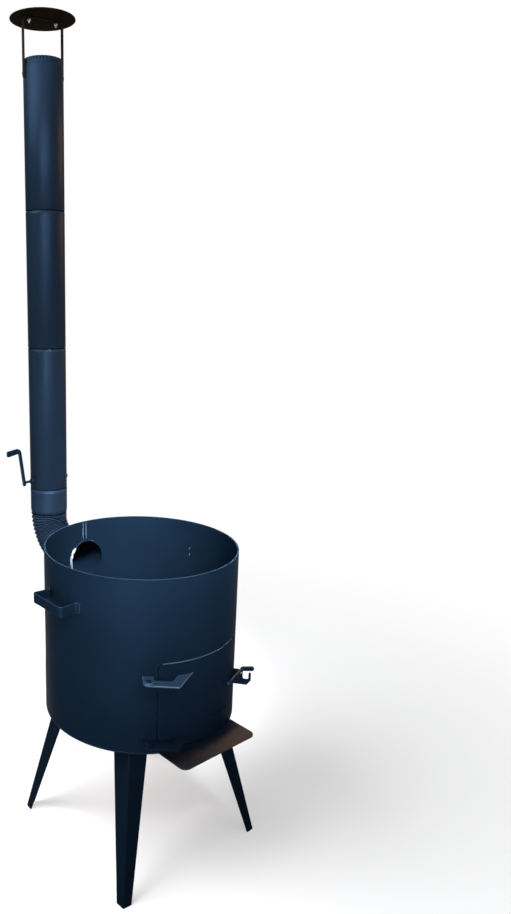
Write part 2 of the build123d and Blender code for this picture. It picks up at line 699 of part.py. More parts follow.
with BuildPart() as damper_handle:
    inner_low = LEVER_X - LEVER_W / 2
    outer_low = LEVER_X + LEVER_W / 2
    grip_low = LEVER_RISE - GRIP_W
    inner_top = inner_low + LEVER_LEAN
    with BuildSketch(LEVER_SIDE) as lever_outline:
        with BuildLine():
            Polyline(
                (inner_low - LEVER_SLOPE * LEVER_FOOT, -LEVER_FOOT),
                (inner_top, LEVER_RISE),
                (inner_top + GRIP_LEN, LEVER_RISE - LEVER_SLOPE * GRIP_LEN),
                (inner_top + GRIP_LEN, grip_low - LEVER_SLOPE * GRIP_LEN),
                (outer_low + LEVER_SLOPE * grip_low, grip_low),
                (outer_low - LEVER_SLOPE * LEVER_FOOT, -LEVER_FOOT),
                close=True,
            )
        make_face()
        inside_corner = lever_outline.vertices().sort_by_distance(
            LEVER_SIDE.from_local_coords((outer_low + LEVER_SLOPE * grip_low, grip_low, 0))
        )[0]
        fillet(inside_corner, GRIP_FILLET)
    extrude(amount=GRIP_T / 2, both=True)
    upright = damper_handle.edges().filter_by(Axis.Y)
    ends = upright.group_by(Axis.Z)[0] + upright.group_by(Axis.X)[0] + upright.group_by(Axis.Z)[-1]
    fillet(ends, LEVER_W / 2 * 0.9)
write(damper_handle.part, "damper_handle")

# Cap strap, cap disc and their bolts
with BuildPart() as cap_strap:
    leg_x = STRAP_IN + STRAP_T / 2
    top_z = CAP_Z - STRAP_T / 2
    with BuildSketch(STRAP_SIDE):
        with BuildLine():
            FilletPolyline(
                (-leg_x, STRAP_LOW_Z),
                (-leg_x, top_z),
                (leg_x, top_z),
                (leg_x, STRAP_LOW_Z),
                radius=STRAP_BEND_R,
            )
        trace(line_width=STRAP_T)
    extrude(amount=STRAP_W / 2, both=True)
    for end in (-1, 1):
        with BuildSketch(strap_bolt_plane(end, 0)):
            Circle(CAP_BOLT_R)
        extrude(amount=PIPE_D, mode=Mode.SUBTRACT)
    with BuildSketch(Plane(origin=(0, PIPE_Y, CAP_Z), x_dir=STRAP_AXIS, z_dir=(0, 0, 1))):
        with GridLocations(CAP_BOLT_SPAN, 0, 2, 1):
            Circle(CAP_BOLT_R)
    extrude(amount=-2 * STRAP_T, mode=Mode.SUBTRACT)
write(cap_strap.part, "cap_strap")

CAP_PLANE = Plane(origin=(0, PIPE_Y, CAP_Z), x_dir=STRAP_AXIS, z_dir=(0, 0, 1))

with BuildPart() as cap_disc:
    with BuildSketch(CAP_PLANE):
        Circle(CAP_D / 2)
        with GridLocations(CAP_BOLT_SPAN, 0, 2, 1):
            Circle(CAP_BOLT_R, mode=Mode.SUBTRACT)
    extrude(amount=CAP_T)
write(cap_disc.part, "cap_disc")

with BuildPart() as cap_bolts:
    with BuildSketch(CAP_PLANE.offset(CAP_T)):
        with GridLocations(CAP_BOLT_SPAN, 0, 2, 1):
            Circle(CAP_HEAD_R)
    extrude(amount=CAP_HEAD_H)
    with BuildSketch(CAP_PLANE.offset(CAP_T)):
        with GridLocations(CAP_BOLT_SPAN, 0, 2, 1):
            Circle(CAP_BOLT_R)
    extrude(amount=-(CAP_T + STRAP_T + CAP_NUT_H + CAP_BOLT_TAIL))
write(cap_bolts.part, "cap_bolts")

with BuildPart() as cap_nuts:
    with BuildSketch(CAP_PLANE.offset(-STRAP_T)):
        with GridLocations(CAP_BOLT_SPAN, 0, 2, 1):
            RegularPolygon(CAP_NUT_FLATS / 2, 6, major_radius=False)
            Circle(CAP_BOLT_R, mode=Mode.SUBTRACT)
    extrude(amount=-CAP_NUT_H)
write(cap_nuts.part, "cap_nuts")

CAP_NUT_CORNER = CAP_NUT_FLATS / 2 / cos(radians(30))
NUT_SEAT = (PIPE_BORE_R**2 - CAP_NUT_CORNER**2) ** 0.5

with BuildPart() as strap_bolts:
    for end in (-1, 1):
        with BuildSketch(strap_bolt_plane(end, STRAP_IN + STRAP_T)):
            Circle(CAP_HEAD_R)
        extrude(amount=CAP_HEAD_H)
        with BuildSketch(strap_bolt_plane(end, STRAP_IN + STRAP_T)):
            Circle(CAP_BOLT_R)
        extrude(amount=-(STRAP_IN + STRAP_T - NUT_SEAT + CAP_NUT_H + BOLT_TAIL))
write(strap_bolts.part, "strap_bolts")

with BuildPart() as strap_nuts:
    for end in (-1, 1):
        with BuildSketch(strap_bolt_plane(end, NUT_SEAT - CAP_NUT_H)):
            RegularPolygon(CAP_NUT_FLATS / 2, 6, major_radius=False)
            Circle(CAP_BOLT_R, mode=Mode.SUBTRACT)
        extrude(amount=CAP_NUT_H)
write(strap_nuts.part, "strap_nuts")

# Fire grate: a slotted cast plate that lies loose on four lugs inside the drum
GRATE_R = BORE_R - GRATE_CLEAR
GRATE_LOW_Z = DRUM_FOOT_Z + GRATE_Z
SLOT_PITCH = GRATE_BAR + GRATE_SLOT
SLOT_FIELD_R = GRATE_R - GRATE_RING
SLOT_COUNT = int((SLOT_FIELD_R - GRATE_SLOT) / SLOT_PITCH)

with BuildPart() as fire_grate:
    with BuildSketch(Plane.XY.offset(GRATE_LOW_Z)):
        Circle(GRATE_R)
        for row in range(-SLOT_COUNT, SLOT_COUNT + 1):
            reach = (SLOT_FIELD_R**2 - (abs(row) * SLOT_PITCH + GRATE_SLOT / 2) ** 2) ** 0.5
            half_run = (reach - GRATE_BAR / 2) / 2
            for side in (-1, 1):
                with Locations((row * SLOT_PITCH, side * (GRATE_BAR / 2 + half_run))):
                    SlotOverall(2 * half_run, GRATE_SLOT, rotation=90, mode=Mode.SUBTRACT)
    extrude(amount=GRATE_T)
write(fire_grate.part, "fire_grate")

with BuildPart() as grate_lugs:
    lug_top = GRATE_LOW_Z
    with BuildSketch(Plane.XY.offset(lug_top - LUG_T)):
        with PolarLocations(BORE_R - LUG_LEN / 2, 4, start_angle=LUG_AZIMUTH):
            Rectangle(LUG_LEN, LUG_W)
    extrude(amount=LUG_T)
    with BuildSketch(Plane.XY.offset(lug_top - LUG_T)):
        with PolarLocations(BORE_R - LUG_T / 2, 4, start_angle=LUG_AZIMUTH):
            Rectangle(LUG_T, LUG_W)
    extrude(amount=-LUG_FOLD)
    with BuildSketch(Plane.XY.offset(DRUM_FOOT_Z)):
        Circle(BORE_R)
    extrude(amount=DRUM_H, mode=Mode.INTERSECT)
write(grate_lugs.part, "grate_lugs")
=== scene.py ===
# %% [markdown]
# # Finishing a cauldron stove
# The stove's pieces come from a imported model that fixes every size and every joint. This lesson
# gives them the look of the real thing: rolled and folded steel sheet, sprayed with satin
# heat-resistant paint. Each step says what the piece is on the real stove, how it could be made
# in Blender, and why it is made the way it is.

# %% Load the fixed frame
import json
import math
import random
from contextlib import contextmanager

import bmesh
import bpy
from mathutils import Matrix, Vector

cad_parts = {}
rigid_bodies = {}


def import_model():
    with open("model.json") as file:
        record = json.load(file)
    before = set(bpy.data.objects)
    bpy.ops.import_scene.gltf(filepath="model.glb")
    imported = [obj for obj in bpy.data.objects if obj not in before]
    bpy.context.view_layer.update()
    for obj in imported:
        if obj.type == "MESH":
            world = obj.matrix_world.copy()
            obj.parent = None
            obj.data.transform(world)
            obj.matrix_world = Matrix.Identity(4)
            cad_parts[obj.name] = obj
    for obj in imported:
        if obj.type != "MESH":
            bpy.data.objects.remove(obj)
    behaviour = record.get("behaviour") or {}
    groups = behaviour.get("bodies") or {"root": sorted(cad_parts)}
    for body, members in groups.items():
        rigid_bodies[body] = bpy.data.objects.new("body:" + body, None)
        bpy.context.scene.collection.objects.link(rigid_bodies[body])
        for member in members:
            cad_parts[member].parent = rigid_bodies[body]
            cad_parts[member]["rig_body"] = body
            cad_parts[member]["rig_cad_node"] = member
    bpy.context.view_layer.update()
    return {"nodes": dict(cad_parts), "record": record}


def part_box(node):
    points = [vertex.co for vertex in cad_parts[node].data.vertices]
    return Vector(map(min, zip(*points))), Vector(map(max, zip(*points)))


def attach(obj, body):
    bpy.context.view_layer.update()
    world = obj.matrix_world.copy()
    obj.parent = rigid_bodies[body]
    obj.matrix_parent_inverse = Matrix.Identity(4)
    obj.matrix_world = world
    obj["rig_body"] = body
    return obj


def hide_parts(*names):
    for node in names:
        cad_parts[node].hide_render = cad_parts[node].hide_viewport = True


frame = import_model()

MM = 0.001
nodes = frame["nodes"]
record = frame["record"]
body_of_node = {
    node: body for body, members in record["behaviour"]["bodies"].items() for node in members
}

# %% [markdown]
# ## Camera
# The photograph was taken from about chest height, a little to the left of the fire door. Its
# truest vertical is left of the middle, because the picture was widened on the right afterwards,
# so the camera needs a sideways shift and not a turn.

# %% Place the camera
LONG_SIDE_PX = 914
FOCAL_PX = 747.8
SENSOR = 36.0
CAMERA_AT = Vector((-0.9617, -1.1180, 1.1540))
HEADING = math.radians(37.30)
PITCH = math.radians(-12.37)
ROLL = math.radians(0.075)
SHIFT_X, SHIFT_Y = 0.1717, 0.0016

camera_data = bpy.data.cameras.new("camera")
camera_data.sensor_width = SENSOR
camera_data.lens = FOCAL_PX / LONG_SIDE_PX * SENSOR
camera_data.shift_x = SHIFT_X
camera_data.shift_y = SHIFT_Y
camera = bpy.data.objects.new("camera", camera_data)
bpy.context.scene.collection.objects.link(camera)
turn = (
    Matrix.Rotation(-HEADING, 4, "Z")
    @ Matrix.Rotation(math.pi / 2 + PITCH, 4, "X")
    @ Matrix.Rotation(ROLL, 4, "Z")
)
camera.matrix_world = Matrix.Translation(CAMERA_AT) @ turn
bpy.context.scene.camera = camera
bpy.context.scene.view_settings.view_transform = "Standard"
print("lens", round(camera_data.lens, 2), "mm")

# %% [markdown]
# ## Helpers for materials
# Colours are picked as sRGB hex values, as a colour picker shows them, while shaders work in
# linear light, so one function turns one into the other. A second one adds a node with its
# settings and links, which is all that a node tree in a script needs.


# %% Colour and node helpers
def linear(code):
    """Linear RGBA of an sRGB hex colour such as 1a2530."""
    channels = [int(code[i : i + 2], 16) / 255 for i in (0, 2, 4)]
    return [c / 12.92 if c <= 0.04045 else ((c + 0.055) / 1.055) ** 2.4 for c in channels] + [1.0]


def add(tree, kind, settings=None, inputs=None):
    """Add one node. A setting is an attribute, and an input is a value or another node's output."""
    made = tree.nodes.new(kind)
    for name, value in (settings or {}).items():
        setattr(made, name, value)
    for name, value in (inputs or {}).items():
        if isinstance(value, bpy.types.NodeSocket):
            tree.links.new(value, made.inputs[name])
        else:
            made.inputs[name].default_value = value
    return made


def new_material(name):
    """A material with an empty node tree, its tree and its output node."""
    material = bpy.data.materials.new(name)
    material.use_nodes = True
    material.node_tree.nodes.clear()
    output = material.node_tree.nodes.new("ShaderNodeOutputMaterial")
    return material, material.node_tree, output


def size(length):
    """The scale of a noise texture whose grain is about this many metres."""
    return 1.0 / length


print("mid grey is", round(linear("808080")[0], 3), "in linear light")

# %% [markdown]
# ## Studio
# The stove stands in a white studio. The white behind it is a world that only the camera,
# mirrors and glass see at full strength. It could come from brighter lamps, but they would wash
# the dark paint out, so for every other ray the world is a weak grey sky.


# %% World
def background_seen(tree):
    """1 for rays that show the background: from the camera, a reflection or through glass."""
    path = add(tree, "ShaderNodeLightPath")
    mirrored = add(
        tree,
        "ShaderNodeMath",
        {"operation": "MAXIMUM"},
        {0: path.outputs["Is Glossy Ray"], 1: path.outputs["Is Transmission Ray"]},
    )
    return add(
        tree,
        "ShaderNodeMath",
        {"operation": "MAXIMUM"},
        {0: path.outputs["Is Camera Ray"], 1: mirrored.outputs[0]},
    ).outputs[0]


WORLD_GLOW = 0.17
world = bpy.data.worlds.new("studio")
bpy.context.scene.world = world
world.use_nodes = True
world.node_tree.nodes.clear()
strength = add(
    world.node_tree,
    "ShaderNodeMapRange",
    None,
    {"Value": background_seen(world.node_tree), "To Min": WORLD_GLOW, "To Max": 1.0},
)
sky = add(
    world.node_tree, "ShaderNodeBackground", None, {"Color": (1, 1, 1, 1), "Strength": strength.outputs[0]}
)
add(world.node_tree, "ShaderNodeOutputWorld", None, {"Surface": sky.outputs[0]})
print("world glow for lighting", WORLD_GLOW)

# %% [markdown]
# Near the stove the floor is an ordinary matt white surface that takes shadows. Further out it
# turns into a plain white glow, so that its edge melts into the background. A small floor with a
# curved backdrop would do too, but its bend would show in views from above.

# %% Floor
FLOOR_SIZE = 40
FLOOR_NEAR = 0.45
FLOOR_FAR = 1.9
NEAR_GLOW = 0.42
bpy.ops.object.select_all(action="DESELECT")
bpy.ops.mesh.primitive_plane_add(size=FLOOR_SIZE, location=(0, 0, 0))
floor = bpy.context.object
floor.name = "studio_floor"
# matt white board: it scatters the light evenly and shows the stove's soft shadow
floor_material, tree, output = new_material("matt_white_floor")
place = add(tree, "ShaderNodeTexCoord")
distance = add(tree, "ShaderNodeVectorMath", {"operation": "LENGTH"}, {0: place.outputs["Object"]})
glow_share = add(
    tree,
    "ShaderNodeMapRange",
    {"interpolation_type": "SMOOTHSTEP"},
    {
        "Value": distance.outputs["Value"],
        "From Min": FLOOR_NEAR,
        "From Max": FLOOR_FAR,
        "To Min": NEAR_GLOW,
        "To Max": 1.0,
    },
)
matt = add(tree, "ShaderNodeBsdfDiffuse", None, {"Color": (0.80, 0.80, 0.80, 1)})
glow = add(tree, "ShaderNodeEmission", None, {"Color": (1, 1, 1, 1), "Strength": background_seen(tree)})
mixed = add(
    tree, "ShaderNodeMixShader", None, {0: glow_share.outputs[0], 1: matt.outputs[0], 2: glow.outputs[0]}
)
tree.links.new(mixed.outputs[0], output.inputs["Surface"])
floor.data.materials.append(floor_material)
print("floor", FLOOR_SIZE, "m across, matt within", FLOOR_NEAR, "m")

# %% [markdown]
# The lamps are softboxes. A large one at the upper left and one overhead light everything. Small
# ones with a grid lift the drum's face and its inside, two tall ones draw the highlight down the
# pipe, and a warm one on the right gives the pipe its reddish edge.


# %% Lamps
def area_lamp(name, azimuth, elevation, distance, shape, power, code, aim, spread):
    """A soft lamp; azimuth counts from the door towards +X, and a grid narrows its spread."""
    a, e = math.radians(azimuth), math.radians(elevation)
    away = Vector((math.sin(a) * math.cos(e), -math.cos(a) * math.cos(e), math.sin(e)))
    data = bpy.data.lights.new(name, "AREA")
    data.shape = "RECTANGLE"
    data.size, data.size_y = shape
    data.energy = power
    data.spread = math.radians(spread)
    data.color = linear(code)[:3]
    lamp = bpy.data.objects.new(name, data)
    bpy.context.scene.collection.objects.link(lamp)
    lamp.location = aim + away * distance
    lamp.rotation_euler = away.to_track_quat("Z", "Y").to_euler()
    return lamp


PIPE_AIM = Vector((0, 0.34, 1.15))
FLOOR_AIM = Vector((0.2, 0, 0.1))
DRUM_TOP_AIM = Vector((0, -0.1, 0.64))
DRUM_FACE_AIM = Vector((-0.05, -0.1, 0.60))
BACK_WALL_AIM = Vector((0.10, 0.17, 0.62))
area_lamp("key_softbox", -106, 50, 3.0, (2.0, 2.0), 68, "fbfcff", FLOOR_AIM, 120)
area_lamp("ceiling_softbox", -60, 80, 2.6, (1.2, 1.2), 12, "ffffff", FLOOR_AIM, 140)
area_lamp("drum_top_softbox", -50, 20, 1.15, (0.4, 0.3), 0.75, "f4f8ff", DRUM_TOP_AIM, 36)
area_lamp("drum_low_softbox", -54, -2, 1.3, (0.4, 0.3), 1.5, "f4f8ff", DRUM_FACE_AIM, 45)
area_lamp("inside_softbox", -20, 44, 1.9, (0.4, 0.4), 11, "f4f8ff", BACK_WALL_AIM, 24)
area_lamp("pipe_softbox", -42, 0, 2.0, (0.2, 1.6), 6.4, "f0f5ff", PIPE_AIM, 55)
area_lamp("pipe_side_softbox", -20, 4, 2.0, (0.3, 1.6), 4.0, "f0f5ff", PIPE_AIM, 55)
area_lamp("warm_wall", 75, 8, 2.2, (0.5, 1.4), 9, "ff9450", PIPE_AIM, 45)
print("lamps", len(bpy.data.lights))

# %% [markdown]
# ## Paint
# The stove is sprayed with heat-resistant silicone paint: a matt to satin blue-black with a
# slight orange peel, where the droplets did not flow out quite flat. It could be one flat dark
# colour, but then a large drum looks like plastic, so the colour drifts a little over a hand's
# breadth, the gloss drifts with it, and a fine bump breaks up the highlights.

# %% Satin heat-resistant paint
EDGE_TINT = (0.5, 0.5, 0.5, 1)
DRIFT = 0.11
PEEL_GRAIN = 2.4 * MM  # the droplets are about 0.8 mm, drawn coarser so that they show
PEEL_DEPTH = 0.05 * MM


def sprayed_paint(name, thick, thin, roughness, flake, peel):
    """Sprayed satin paint: two close colours, a drifting gloss and a fine orange peel.

    Stove paint is filled with graphite and aluminium flake, whose share gives its soft dark sheen.
    """
    material, tree, output = new_material(name)
    place = add(tree, "ShaderNodeTexCoord").outputs["Object"]
    drift = add(tree, "ShaderNodeTexNoise", None, {"Vector": place, "Scale": size(DRIFT), "Detail": 4.0})
    colour = add(
        tree,
        "ShaderNodeMix",
        {"data_type": "RGBA"},
        {0: drift.outputs["Fac"], 6: linear(thick), 7: linear(thin)},
    )
    gloss = add(
        tree,
        "ShaderNodeMapRange",
        None,
        {
            "Value": drift.outputs["Fac"],
            "From Min": 0.3,
            "From Max": 0.7,
            "To Min": roughness - 0.05,
            "To Max": roughness + 0.05,
        },
    )
    droplets = add(
        tree, "ShaderNodeTexNoise", None, {"Vector": place, "Scale": size(PEEL_GRAIN), "Detail": 2.0}
    )
    bump = add(
        tree,
        "ShaderNodeBump",
        None,
        {"Height": droplets.outputs["Fac"], "Strength": peel, "Distance": PEEL_DEPTH},
    )
    shader = add(
        tree,
        "ShaderNodeBsdfPrincipled",
        None,
        {
            "Base Color": colour.outputs[2],
            "Roughness": gloss.outputs[0],
            "Metallic": flake,
            "Specular IOR Level": 0.002,
            "Specular Tint": EDGE_TINT,
            "Normal": bump.outputs[0],
        },
    )
    tree.links.new(shader.outputs[0], output.inputs["Surface"])
    return material


# silicone stove paint, sprayed thick on the drum: blue-black with a soft broad sheen
drum_paint = sprayed_paint("heat_resistant_satin_paint", "060e17", "08131e", 0.5, 0.4, 0.5)
# the same paint, paler and glossier: a painted highlight on upper hinge, rim and edges, partly wear
paler_paint_painted_highlight = sprayed_paint("satin_paint_with_painted_highlight", "172635", "1e2f40", 0.46, 0.4, 0.4)
# the thinner coat of the bought pipes, rich in flake: a narrower, brighter highlight
pipe_paint = sprayed_paint("heat_resistant_pipe_paint", "111b26", "141f2c", 0.44, 0.6, 0.4)
# the rain cap's paint: brown-black and nearly matt, its brown a painted warm reflection from below
cap_paint_warm_reflection = sprayed_paint("brown_black_paint_painted_warm_reflection", "17130c", "211a11", 0.6, 0.0, 0.6)
print("paints", [paint.name for paint in (drum_paint, paler_paint_painted_highlight, pipe_paint, cap_paint_warm_reflection)])

# %% [markdown]
# The shelf in front of the door is painted blue-black close to the drum, a painted shade and a
# painted dark reflection of the drum. It turns to bronze outwards and towards the latch side, a
# painted warm reflection. The distance from the drum's axis and the distance along X drive that,
# with a noise that keeps the boundary uneven.

# %% Painted shade and warm reflection on the shelf
SHADE_TO_REFLECTION_FROM, SHADE_TO_REFLECTION_TO = 0.204, 0.236
LATCH_SIDE_FROM, LATCH_SIDE_TO = -0.10, 0.07
UNEVEN = 0.03
PATCH = 0.03
shelf_paint_painted_shade_and_reflection, tree, output = new_material("satin_paint_with_painted_shade_and_warm_reflection")
place = add(tree, "ShaderNodeTexCoord").outputs["Object"]
parts_of_place = add(tree, "ShaderNodeSeparateXYZ", None, {0: place})
flat = add(tree, "ShaderNodeVectorMath", {"operation": "MULTIPLY"}, {0: place, 1: (1, 1, 0)})
reach = add(tree, "ShaderNodeVectorMath", {"operation": "LENGTH"}, {0: flat.outputs[0]})
patches = add(tree, "ShaderNodeTexNoise", None, {"Vector": place, "Scale": size(PATCH), "Detail": 4.0})
uneven = add(
    tree,
    "ShaderNodeMath",
    {"operation": "MULTIPLY_ADD"},
    {0: patches.outputs["Fac"], 1: UNEVEN, 2: reach.outputs["Value"]},
)
outwards = add(
    tree,
    "ShaderNodeMapRange",
    {"interpolation_type": "SMOOTHSTEP"},
    {
        "Value": uneven.outputs[0],
        "From Min": SHADE_TO_REFLECTION_FROM + UNEVEN / 2,
        "From Max": SHADE_TO_REFLECTION_TO + UNEVEN / 2,
    },
)
sideways = add(
    tree,
    "ShaderNodeMapRange",
    {"interpolation_type": "SMOOTHSTEP"},
    {"Value": parts_of_place.outputs["X"], "From Min": LATCH_SIDE_FROM, "From Max": LATCH_SIDE_TO},
)
# painted warm reflection: dark grey towards the door's side, bronze towards the latch side
bronze = add(
    tree,
    "ShaderNodeMix",
    {"data_type": "RGBA"},
    {0: sideways.outputs[0], 6: linear("15161a"), 7: linear("382d27")},
)
# painted shade and dark reflection of the drum near it, giving way outwards to the painted warm reflection
painted_shade_to_reflection = add(
    tree,
    "ShaderNodeMix",
    {"data_type": "RGBA"},
    {0: outwards.outputs[0], 6: linear("080d17"), 7: bronze.outputs[2]},
)
droplets = add(
    tree, "ShaderNodeTexNoise", None, {"Vector": place, "Scale": size(PEEL_GRAIN), "Detail": 2.0}
)
bump = add(
    tree,
    "ShaderNodeBump",
    None,
    {"Height": droplets.outputs["Fac"], "Strength": 0.4, "Distance": PEEL_DEPTH},
)
shader = add(
    tree,
    "ShaderNodeBsdfPrincipled",
    None,
    {
        "Base Color": painted_shade_to_reflection.outputs[2],
        "Roughness": 0.42,
        "Specular IOR Level": 0.02,
        "Normal": bump.outputs[0],
    },
)
tree.links.new(shader.outputs[0], output.inputs["Surface"])
print("shelf browned from", SHADE_TO_REFLECTION_FROM, "to", SHADE_TO_REFLECTION_TO, "m")

# %% [markdown]
# ## Pale edges
# A cut edge of painted sheet has hardly any paint on its arris, and handling wears that off. Each
# edge also catches the light as a thin light line, so the pale colour is partly wear and partly a
# painted highlight. It could be painted on with a mask, but here each edge has a real small bevel,
# and the bevel's faces get this paler, smoother material.

# %% Worn edge with painted highlight
worn_edge_and_highlight, tree, output = new_material("paint_worn_thin_with_painted_edge_highlight")
EDGE_GRAIN = 6 * MM
place = add(tree, "ShaderNodeTexCoord").outputs["Object"]
edge_wear_and_highlight_patches = add(tree, "ShaderNodeTexNoise", None, {"Vector": place, "Scale": size(EDGE_GRAIN), "Detail": 3.0})
# pale patches along the edges: paint worn thin, and a painted highlight
colour = add(
    tree,
    "ShaderNodeMix",
    {"data_type": "RGBA"},
    {0: edge_wear_and_highlight_patches.outputs["Fac"], 6: linear("1f2d3e"), 7: linear("4b5968")},
)
shader = add(
    tree,
    "ShaderNodeBsdfPrincipled",
    None,
    {"Base Color": colour.outputs[2], "Roughness": 0.34, "Metallic": 0.2, "Specular IOR Level": 0.2},
)
tree.links.new(shader.outputs[0], output.inputs["Surface"])
print(worn_edge_and_highlight.name, "grain", EDGE_GRAIN, "m")

# %% [markdown]
# Two places get a plain colour. The end of the elbow is bright bare steel on the left, a painted
# glint where its edge catches the light in the flue hole. The narrow groove where two pipes meet
# is painted black, a painted shade that gives the eye a thin dark line. Both are less than 3 mm
# wide, so a plain colour with no pattern is enough.

# %% Cut edge glint and groove shade
# bare steel, a painted glint on the left of the elbow's mouth
glinting_cut_edge, tree, output = new_material("cut_steel_edge_painted_glint")
shader = add(
    tree,
    "ShaderNodeBsdfPrincipled",
    None,
    {"Base Color": linear("868e98"), "Roughness": 0.45, "Metallic": 0.3},
)
tree.links.new(shader.outputs[0], output.inputs["Surface"])

groove_painted_shade, tree, output = new_material("groove_with_painted_shade")
shader = add(
    tree,
    "ShaderNodeBsdfPrincipled",
    None,
    {"Base Color": linear("03060a"), "Roughness": 0.8, "Specular IOR Level": 0.0},
)
tree.links.new(shader.outputs[0], output.inputs["Surface"])
print(glinting_cut_edge.name, groove_painted_shade.name)

# %% [markdown]
# ## Bare metals
# The fasteners are zinc-plated, the damper's disc is bare rolled sheet, and the grate is raw cast
# iron. Metals keep the default IOR. What tells them apart is their colour, how rough they are and
# the direction of their marks.


# %% Zinc and rolled sheet
def bare_metal(name, dark, light, roughness, grain, stretch, depth):
    """A bare metal whose marks are grain metres wide and may be stretched along Z."""
    material, tree, output = new_material(name)
    place = add(tree, "ShaderNodeTexCoord").outputs["Object"]
    along = add(tree, "ShaderNodeMapping", None, {"Vector": place, "Scale": (1, 1, 1 / stretch)})
    marks = add(
        tree, "ShaderNodeTexNoise", None, {"Vector": along.outputs[0], "Scale": size(grain), "Detail": 5.0}
    )
    colour = add(
        tree,
        "ShaderNodeMix",
        {"data_type": "RGBA"},
        {0: marks.outputs["Fac"], 6: linear(dark), 7: linear(light)},
    )
    gloss = add(
        tree,
        "ShaderNodeMapRange",
        None,
        {"Value": marks.outputs["Fac"], "To Min": roughness - 0.08, "To Max": roughness + 0.08},
    )
    bump = add(
        tree,
        "ShaderNodeBump",
        None,
        {"Height": marks.outputs["Fac"], "Strength": 0.5, "Distance": depth},
    )
    shader = add(
        tree,
        "ShaderNodeBsdfPrincipled",
        None,
        {
            "Base Color": colour.outputs[2],
            "Metallic": 1.0,
            "Roughness": gloss.outputs[0],
            "Normal": bump.outputs[0],
        },
    )
    tree.links.new(shader.outputs[0], output.inputs["Surface"])
    return material


# bright zinc plating from a barrel: pale grey with a fine even mottle
zinc_plate = bare_metal("zinc_plated_steel", "8f9296", "c9cccf", 0.32, 1.5 * MM, 1.0, 0.02 * MM)
# cold-rolled sheet as it leaves the mill: long faint streaks along the rolling direction
rolled_sheet = bare_metal("bare_rolled_steel_sheet", "8d8c88", "cfcfcb", 0.28, 4 * MM, 8.0, 0.01 * MM)
print("bare metals", zinc_plate.name, rolled_sheet.name)

# %% [markdown]
# The grate is cast in sand, which leaves a pitted skin, and the fire leaves soot and rust on it.
# Soot hides the metal, so the shader isn't metallic: a rough dark brown, with a coarse bump.

# %% Sooted cast iron
CAST_GRAIN = 1.4 * MM
SOOT_PATCH = 0.05
cast_iron, tree, output = new_material("sooted_cast_iron")
place = add(tree, "ShaderNodeTexCoord").outputs["Object"]
grain = add(tree, "ShaderNodeTexNoise", None, {"Vector": place, "Scale": size(CAST_GRAIN), "Detail": 6.0})
soot = add(tree, "ShaderNodeTexNoise", None, {"Vector": place, "Scale": size(SOOT_PATCH), "Detail": 4.0})
colour = add(
    tree,
    "ShaderNodeMix",
    {"data_type": "RGBA"},
    {0: soot.outputs["Fac"], 6: linear("1b1a19"), 7: linear("3a322c")},
)
bump = add(
    tree, "ShaderNodeBump", None, {"Height": grain.outputs["Fac"], "Strength": 0.6, "Distance": 0.2 * MM}
)
shader = add(
    tree,
    "ShaderNodeBsdfPrincipled",
    None,
    {
        "Base Color": colour.outputs[2],
        "Roughness": 0.78,
        "Specular IOR Level": 0.35,
        "Normal": bump.outputs[0],
    },
)
tree.links.new(shader.outputs[0], output.inputs["Surface"])
print("materials", len(bpy.data.materials))

# %% [markdown]
# ## Helpers for modelling
# An operator acts on all that is selected, so each helper starts by deselecting everything. A
# primitive's place and turn go into its mesh at once, because a finished piece's object stays at
# the origin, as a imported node's does.


# %% Selection and primitives
def only(*pieces):
    """Make these the only selected objects, the first one active."""
    bpy.ops.object.select_all(action="DESELECT")
    for piece in pieces:
        piece.select_set(True)
    bpy.context.view_layer.objects.active = pieces[0]


@contextmanager
def editing(piece):
    """Edit mode for the lines of a with block, and object mode after them."""
    only(piece)
    bpy.ops.object.mode_set(mode="EDIT")
    yield
    bpy.ops.object.mode_set(mode="OBJECT")


def settle(piece):
    """Put an object's place, turn and size into its mesh."""
    only(piece)
    bpy.ops.object.transform_apply(location=True, rotation=True, scale=True)


def start_from(add_primitive, **settings):
    """Add one primitive with nothing else selected, its place and turn put into its mesh."""
    bpy.ops.object.select_all(action="DESELECT")
    add_primitive(**settings)
    piece = bpy.context.object
    settle(piece)
    return piece


def block(middle, sides, turn=(0, 0, 0)):
    """A block with its middle, its three sides and its turn, to cut other pieces with."""
    bpy.ops.object.select_all(action="DESELECT")
    bpy.ops.mesh.primitive_cube_add(size=1, location=middle, rotation=turn)
    piece = bpy.context.object
    piece.scale = sides
    settle(piece)
    return piece


# %% [markdown]
# A modifier is applied as soon as it is added, so that the next step works on real faces. Faces
# and edges to work on are found by their place or their normal, as a hand would pick them on the
# screen.


# %% Modifiers, cuts and picking by place
def modify(piece, kind, **settings):
    """Add one modifier and apply it."""
    only(piece)
    modifier = piece.modifiers.new(kind.lower(), kind)
    for name, value in settings.items():
        setattr(modifier, name, value)
    bpy.ops.object.modifier_apply(modifier=modifier.name)


def cut(piece, cutter, operation="DIFFERENCE"):
    """Cut a piece with a closed shape, which is used up."""
    modify(piece, "BOOLEAN", object=cutter, operation=operation, solver="EXACT")
    bpy.data.objects.remove(cutter)


def pick(piece, element, test):
    """In edit mode, select the elements whose middle passes a test."""
    bpy.ops.mesh.select_mode(type=element)
    bpy.ops.mesh.select_all(action="DESELECT")
    mesh = bmesh.from_edit_mesh(piece.data)
    for item in {"VERT": mesh.verts, "EDGE": mesh.edges, "FACE": mesh.faces}[element]:
        corners = [item] if element == "VERT" else item.verts
        middle = sum((corner.co for corner in corners), Vector()) / len(corners)
        item.select_set(test(middle, item))
    mesh.select_flush_mode()
    bmesh.update_edit_mesh(piece.data)


print("cuts use the exact solver, which keeps thin sheet whole")

